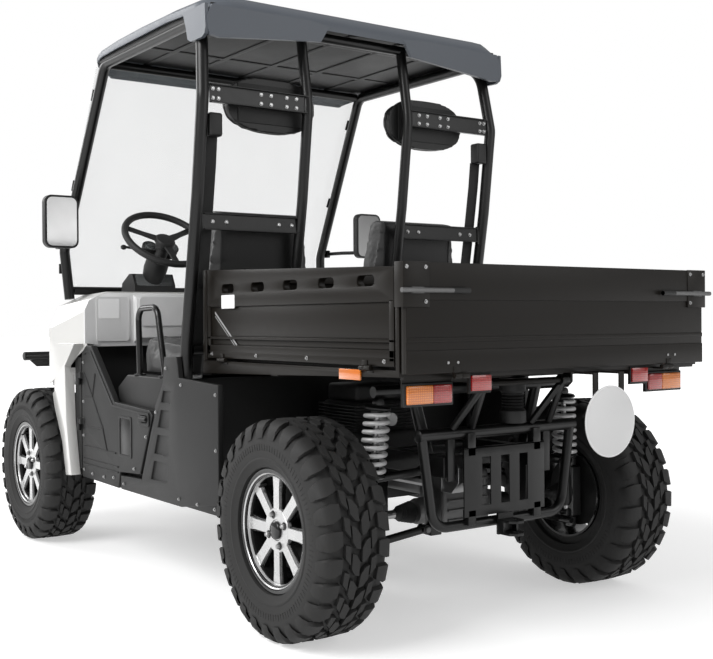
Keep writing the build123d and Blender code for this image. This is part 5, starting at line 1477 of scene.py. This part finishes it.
# ---------------------------------------------------------------- cargo bed
BED_SIDE_X = (-1381.0, -389.0)
SLOT_X = [-525.0 - 184.0 * index for index in range(5)]
BED_FACE = 574
BED_SIDE_BANDS = (
    # height, depth, bevel
    ((778, 800), (550, BED_FACE), 1.4),
    ((799, 819), (562, BED_FACE), 1.4),
    ((819, 838), (562, 566), 0.5),
    ((838, 846), (562, BED_FACE), 1.4),
    ((844, 941), (562, 568), 1.4),
)
HINGE = ((6.6, 0), (7.0, 1), (7.0, 22), (6.6, 23))


def bed_top(x):
    """The height of the bed side's sloping top edge."""
    return 1060.0 + (1028.0 - 1060.0) * ((-359.0 - x) / (-359.0 + 1402.0))


for side_name, turn in (("left", 1), ("right", -1)):
    side = bmesh.new()
    top_band = [(BED_SIDE_X[0], 940), (BED_SIDE_X[1], 940), (BED_SIDE_X[1], bed_top(BED_SIDE_X[1])),
                (BED_SIDE_X[0], bed_top(BED_SIDE_X[0]))]
    slots = [rounded((x - 38, x + 38), (982, 1010), 12, 5) for x in SLOT_X]
    holed(side, top_band, slots, (0, turn * 574, 0), *ALONG, turn * 24.0, 0, 2.2)
    for z, y, bevel in BED_SIDE_BANDS:
        box(side, BED_SIDE_X, span(turn, *y), z, 0, bevel)
    for x in ((BED_SIDE_X[0], BED_SIDE_X[0] + 20), (BED_SIDE_X[1] - 20, BED_SIDE_X[1])):
        box(side, x, span(turn, 550, 574), (790, 945), 0, 1.4)
    for hinge_x in (-500, -1270):
        lathe(side, HINGE, (hinge_x + 0.7, turn * 582, 772), (1, 0, 0), 20)
        box(side, (hinge_x + 1, hinge_x + 24), span(turn, 573, 577), (774.5, 792), 0, 1)
    piece("bed_side_panel_" + side_name, side, side_name + "_bed_side", (BED_PAINT,),
          ("bed_side_" + side_name,))

decals = bmesh.new()
prism(decals, rounded((-570, -486), (934, 976), 3), (0, 574.0, 0), *ALONG, -0.7, 0, 0.2)
side_cut(decals, [(-432, 926), (-574, 823), (-574, 815), (-432, 918)], 568.8, -0.6, 1, 0.0)
side_cut(decals, [(-432, 912), (-574, 809), (-574, 806), (-432, 909)], 568.8, -0.6, 1, 0.0)
piece("bed_side_labels", decals, "left_bed_side", (LABEL, STRIPE))
places = [((x, BED_FACE, 790), (0, 1, 0), 12.0) for x in (-420, -700, -980, -1340)]
bolts("bed_side_bolts", places, "left_bed_side", STEEL)

LEVER_X, LEVER_Z = -1440, 968
gate = bmesh.new()
box(gate, (-1428, -1422), (-572, 572), (760, 1038), 0, 2.5, 3)
for y in ((-572, -530), (-40, 40), (530, 572)):
    box(gate, (-1424, -1407.5), y, (760, 1038), 0, 2)
for z in ((760, 800), (1010, 1038)):
    box(gate, (-1424, -1407.5), (-571, 571), z, 0, 2)
for z in ((760, 818), (838, 850), (944, 1038)):
    box(gate, (-1430.6, -1427), (-571, 571), z, 0, 1.6, 3)
for turn in (-1, 1):
    box(gate, (-1432.4, -1427), span(turn, 500, 583), (926, 1039), 0, 1.5)
    box(gate, (-1432, -1395), span(turn, 579.6, 583.4), (926, 1039), 0, 1.4)
    lever = (LEVER_X, turn * 376, LEVER_Z)
    pipe(gate, (lever, (LEVER_X, turn * 594, LEVER_Z)), 6.4, sides=16, material=1)
    lathe(gate, ((7.4, 0), (7.4, 52), (6.6, 54)), lever, (0, turn, 0), 20, 2)
    box(gate, (-1440, -1431), span(turn, 521, 559), (960, 976), 1, 2)
    lathe(gate, HINGE, (-1434, turn * 400.7, 752), (0, turn, 0), 20)
    box(gate, (-1432, -1424), span(turn, 401, 424), (756.4, 776), 0, 1)
piece("tailgate_panel", gate, "tailgate", (BED_PAINT, CAST, GRIP), ("tailgate",))
places = [((-1432.0, turn * y, z), (-1, 0, 0), 11.0)
          for turn in (-1, 1) for y, z in ((512, 940), (512, 1026), (572, 1026))]
places += [((-1428.0, turn * y, 786), (-1, 0, 0), 12.0) for turn in (-1, 1) for y in (408, 440)]
bolts("tailgate_bolts", places, "tailgate", STEEL)

lights = bmesh.new()
for turn in (-1, 1):
    box(lights, (-1374, -1368.6), span(turn, 376, 540), (674, 734), 2, 2)
    box(lights, (-1381, -1372), span(turn, 446, 532), (680, 728), 0, 4, 3)
    box(lights, (-1381, -1372), span(turn, 384, 445.5), (680, 728), 1, 4, 3)
piece("tail_lamp_lenses", lights, "bed", (AMBER, RED, PLASTIC), ("tail_lamps",))
glints = bmesh.new()
for turn in (-1, 1):
    box(glints, (-1411, -1404), span(turn, 276, 343), (709, 750), 0, 1.6)
    box(glints, (-1405, -1402.4), span(turn, 272, 347), (705, 754), 2, 0.8)
    box(glints, (-1242, -1146), span(turn, 574.2, 580), (739, 767), 1, 1.4)
piece("reflector_set", glints, "bed", (RED, AMBER, PLASTIC), ("reflectors",))
disc = bmesh.new()
middle = (-1475, -109, 609)
lathe(disc, ((98.5, 0.4), (100, 1.0), (100, 3.2), (98.5, 3.9)), middle, (1, 0, 0), 72, 0)
lathe(disc, ((96, -0.3), (98.6, -0.1), (98.6, 0.5), (96, 0.5)), middle, (1, 0, 0), 72, 1, True)
piece("speed_disc_plate", disc, "bed", (WHITE, LABEL), ("speed_disc",))
buffer = bmesh.new()
stack = [(38, 0), (40, 3), (40, 36), (34, 42)]
for fold in range(5):
    stack += [(30, 46 + fold * 9), (35, 50 + fold * 9)]
stack += [(34, 90), (40, 96), (40, 135), (36, 138)]
lathe(buffer, stack, (-1140, -55, 585), (0, 0, 1), 36)
piece("bed_buffer_rubber", buffer, "vehicle", (GRIP,), ("bed_buffers",))

# ---------------------------------------------------------------- engine and silencer
motor = bmesh.new()
box(motor, (-600, -330), (-150, 150), (335, 520), 0, 18, 3)
box(motor, (-560, -360), (-110, 110), (510, 620), 0, 12, 3)
for index in range(8):
    box(motor, (-572, -348), (-122, 122), (528 + index * 11, 533 + index * 11), 0, 1.5, 1)
box(motor, (-550, -370), (-100, 100), (618, 678), 0, 14, 3)
lathe(motor, ((60, 0), (66, 6), (66, 20), (40, 26), (16, 28)), (-470, 148, 430), (0, 1, 0), 40, 0)
lathe(motor, ((58, 0), (64, 6), (64, 10), (30, 14)), (-470, -148, 430), (0, -1, 0), 40, 0)
pipe(motor, ((-592, 0, 560), (-614, 0, 560)), 22.0, sides=20, material=1)
piece("engine_block", motor, "vehicle", (ENGINE, STEEL), ("engine",))

# ---------------------------------------------------------------- camera, floor and lights
EYE = Vector((-3.5418, 2.2174, 0.8953))
YAW, PITCH, ROLL = math.radians(-35.3), math.radians(-0.5), math.radians(-0.4)
ahead = Vector((math.cos(YAW) * math.cos(PITCH), math.sin(YAW) * math.cos(PITCH), math.sin(PITCH)))
level = ahead.cross(Vector((0, 0, 1))).normalized()
upward = level.cross(ahead)
right = level * math.cos(ROLL) + upward * math.sin(ROLL)
top = upward * math.cos(ROLL) - level * math.sin(ROLL)
lens = bpy.data.cameras.new("camera")
lens.lens = 55.17
lens.sensor_width = 36.0
lens.clip_end = 200.0
camera = linked("camera", lens)
camera.matrix_world = Matrix(
    (
        (right.x, top.x, -ahead.x, EYE.x),
        (right.y, top.y, -ahead.y, EYE.y),
        (right.z, top.z, -ahead.z, EYE.z),
        (0, 0, 0, 1),
    )
)
SCENE.camera = camera
SCENE.view_settings.view_transform = "Standard"

ground = bmesh.new()
bmesh.ops.create_grid(ground, x_segments=1, y_segments=1, size=60.0)
ground_mesh = bpy.data.meshes.new("ground")
ground.to_mesh(ground_mesh)
ground.free()
floor_finish = Finish("studio_floor")
floor_finish.shader.inputs["Emission Strength"].default_value = 1.0
seen, glossy, through = [
    floor_finish.node("ShaderNodeLightPath", outlet=ray)
    for ray in ("Is Camera Ray", "Is Glossy Ray", "Is Transmission Ray")
]
lit = seen.most(glossy).most(through)
east, north = floor_finish.axis("X"), floor_finish.axis("Y")
away = (east * east + north * north).root()
haze = ((away - 1.8) * 0.4).most(0.0).least(1.0)
near_white = floor_finish.mix(haze, grey(0.48), grey(1.0))
floor_finish.done(
    Base_Color=grey(0.72), Roughness=0.9, Emission_Color=floor_finish.mix(lit, grey(0.0), near_white)
)
ground_mesh.materials.append(floor_finish.material)
linked("ground", ground_mesh)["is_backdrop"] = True

world = bpy.data.worlds.new("studio")
SCENE.world = world
world.use_nodes = True
sky = world.node_tree
paths = sky.nodes.new("ShaderNodeLightPath")
either = sky.nodes.new("ShaderNodeMath")
either.operation = "MAXIMUM"
sky.links.new(paths.outputs["Is Camera Ray"], either.inputs[0])
sky.links.new(paths.outputs["Is Transmission Ray"], either.inputs[1])
strength = sky.nodes.new("ShaderNodeMath")
strength.operation = "MULTIPLY_ADD"
sky.links.new(either.outputs[0], strength.inputs[0])
strength.inputs[1].default_value = 0.54
strength.inputs[2].default_value = 0.46
sky.nodes["Background"].inputs["Color"].default_value = (1, 1, 1, 1)
sky.links.new(strength.outputs[0], sky.nodes["Background"].inputs["Strength"])

LIGHTS = (
    # name, place, aimed at, size, power
    ("key", (-1.2, 5.2, 4.4), (-0.2, 0.2, 0.8), 3.5, 330.0),
    ("fill", (-5.0, -2.5, 3.0), (-0.5, 0.0, 0.8), 3.0, 60.0),
    ("front", (4.5, 2.5, 3.5), (0.3, 0.0, 0.9), 3.0, 120.0),
)
for light_name, place, aim, size, power in LIGHTS:
    data = bpy.data.lights.new(light_name, "AREA")
    data.size = size
    data.energy = power
    lamp = linked(light_name, data)
    lamp.location = place
    lamp.rotation_mode = "QUATERNION"
    lamp.rotation_quaternion = (Vector(aim) - Vector(place)).to_track_quat("-Z", "Y")

low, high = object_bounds()
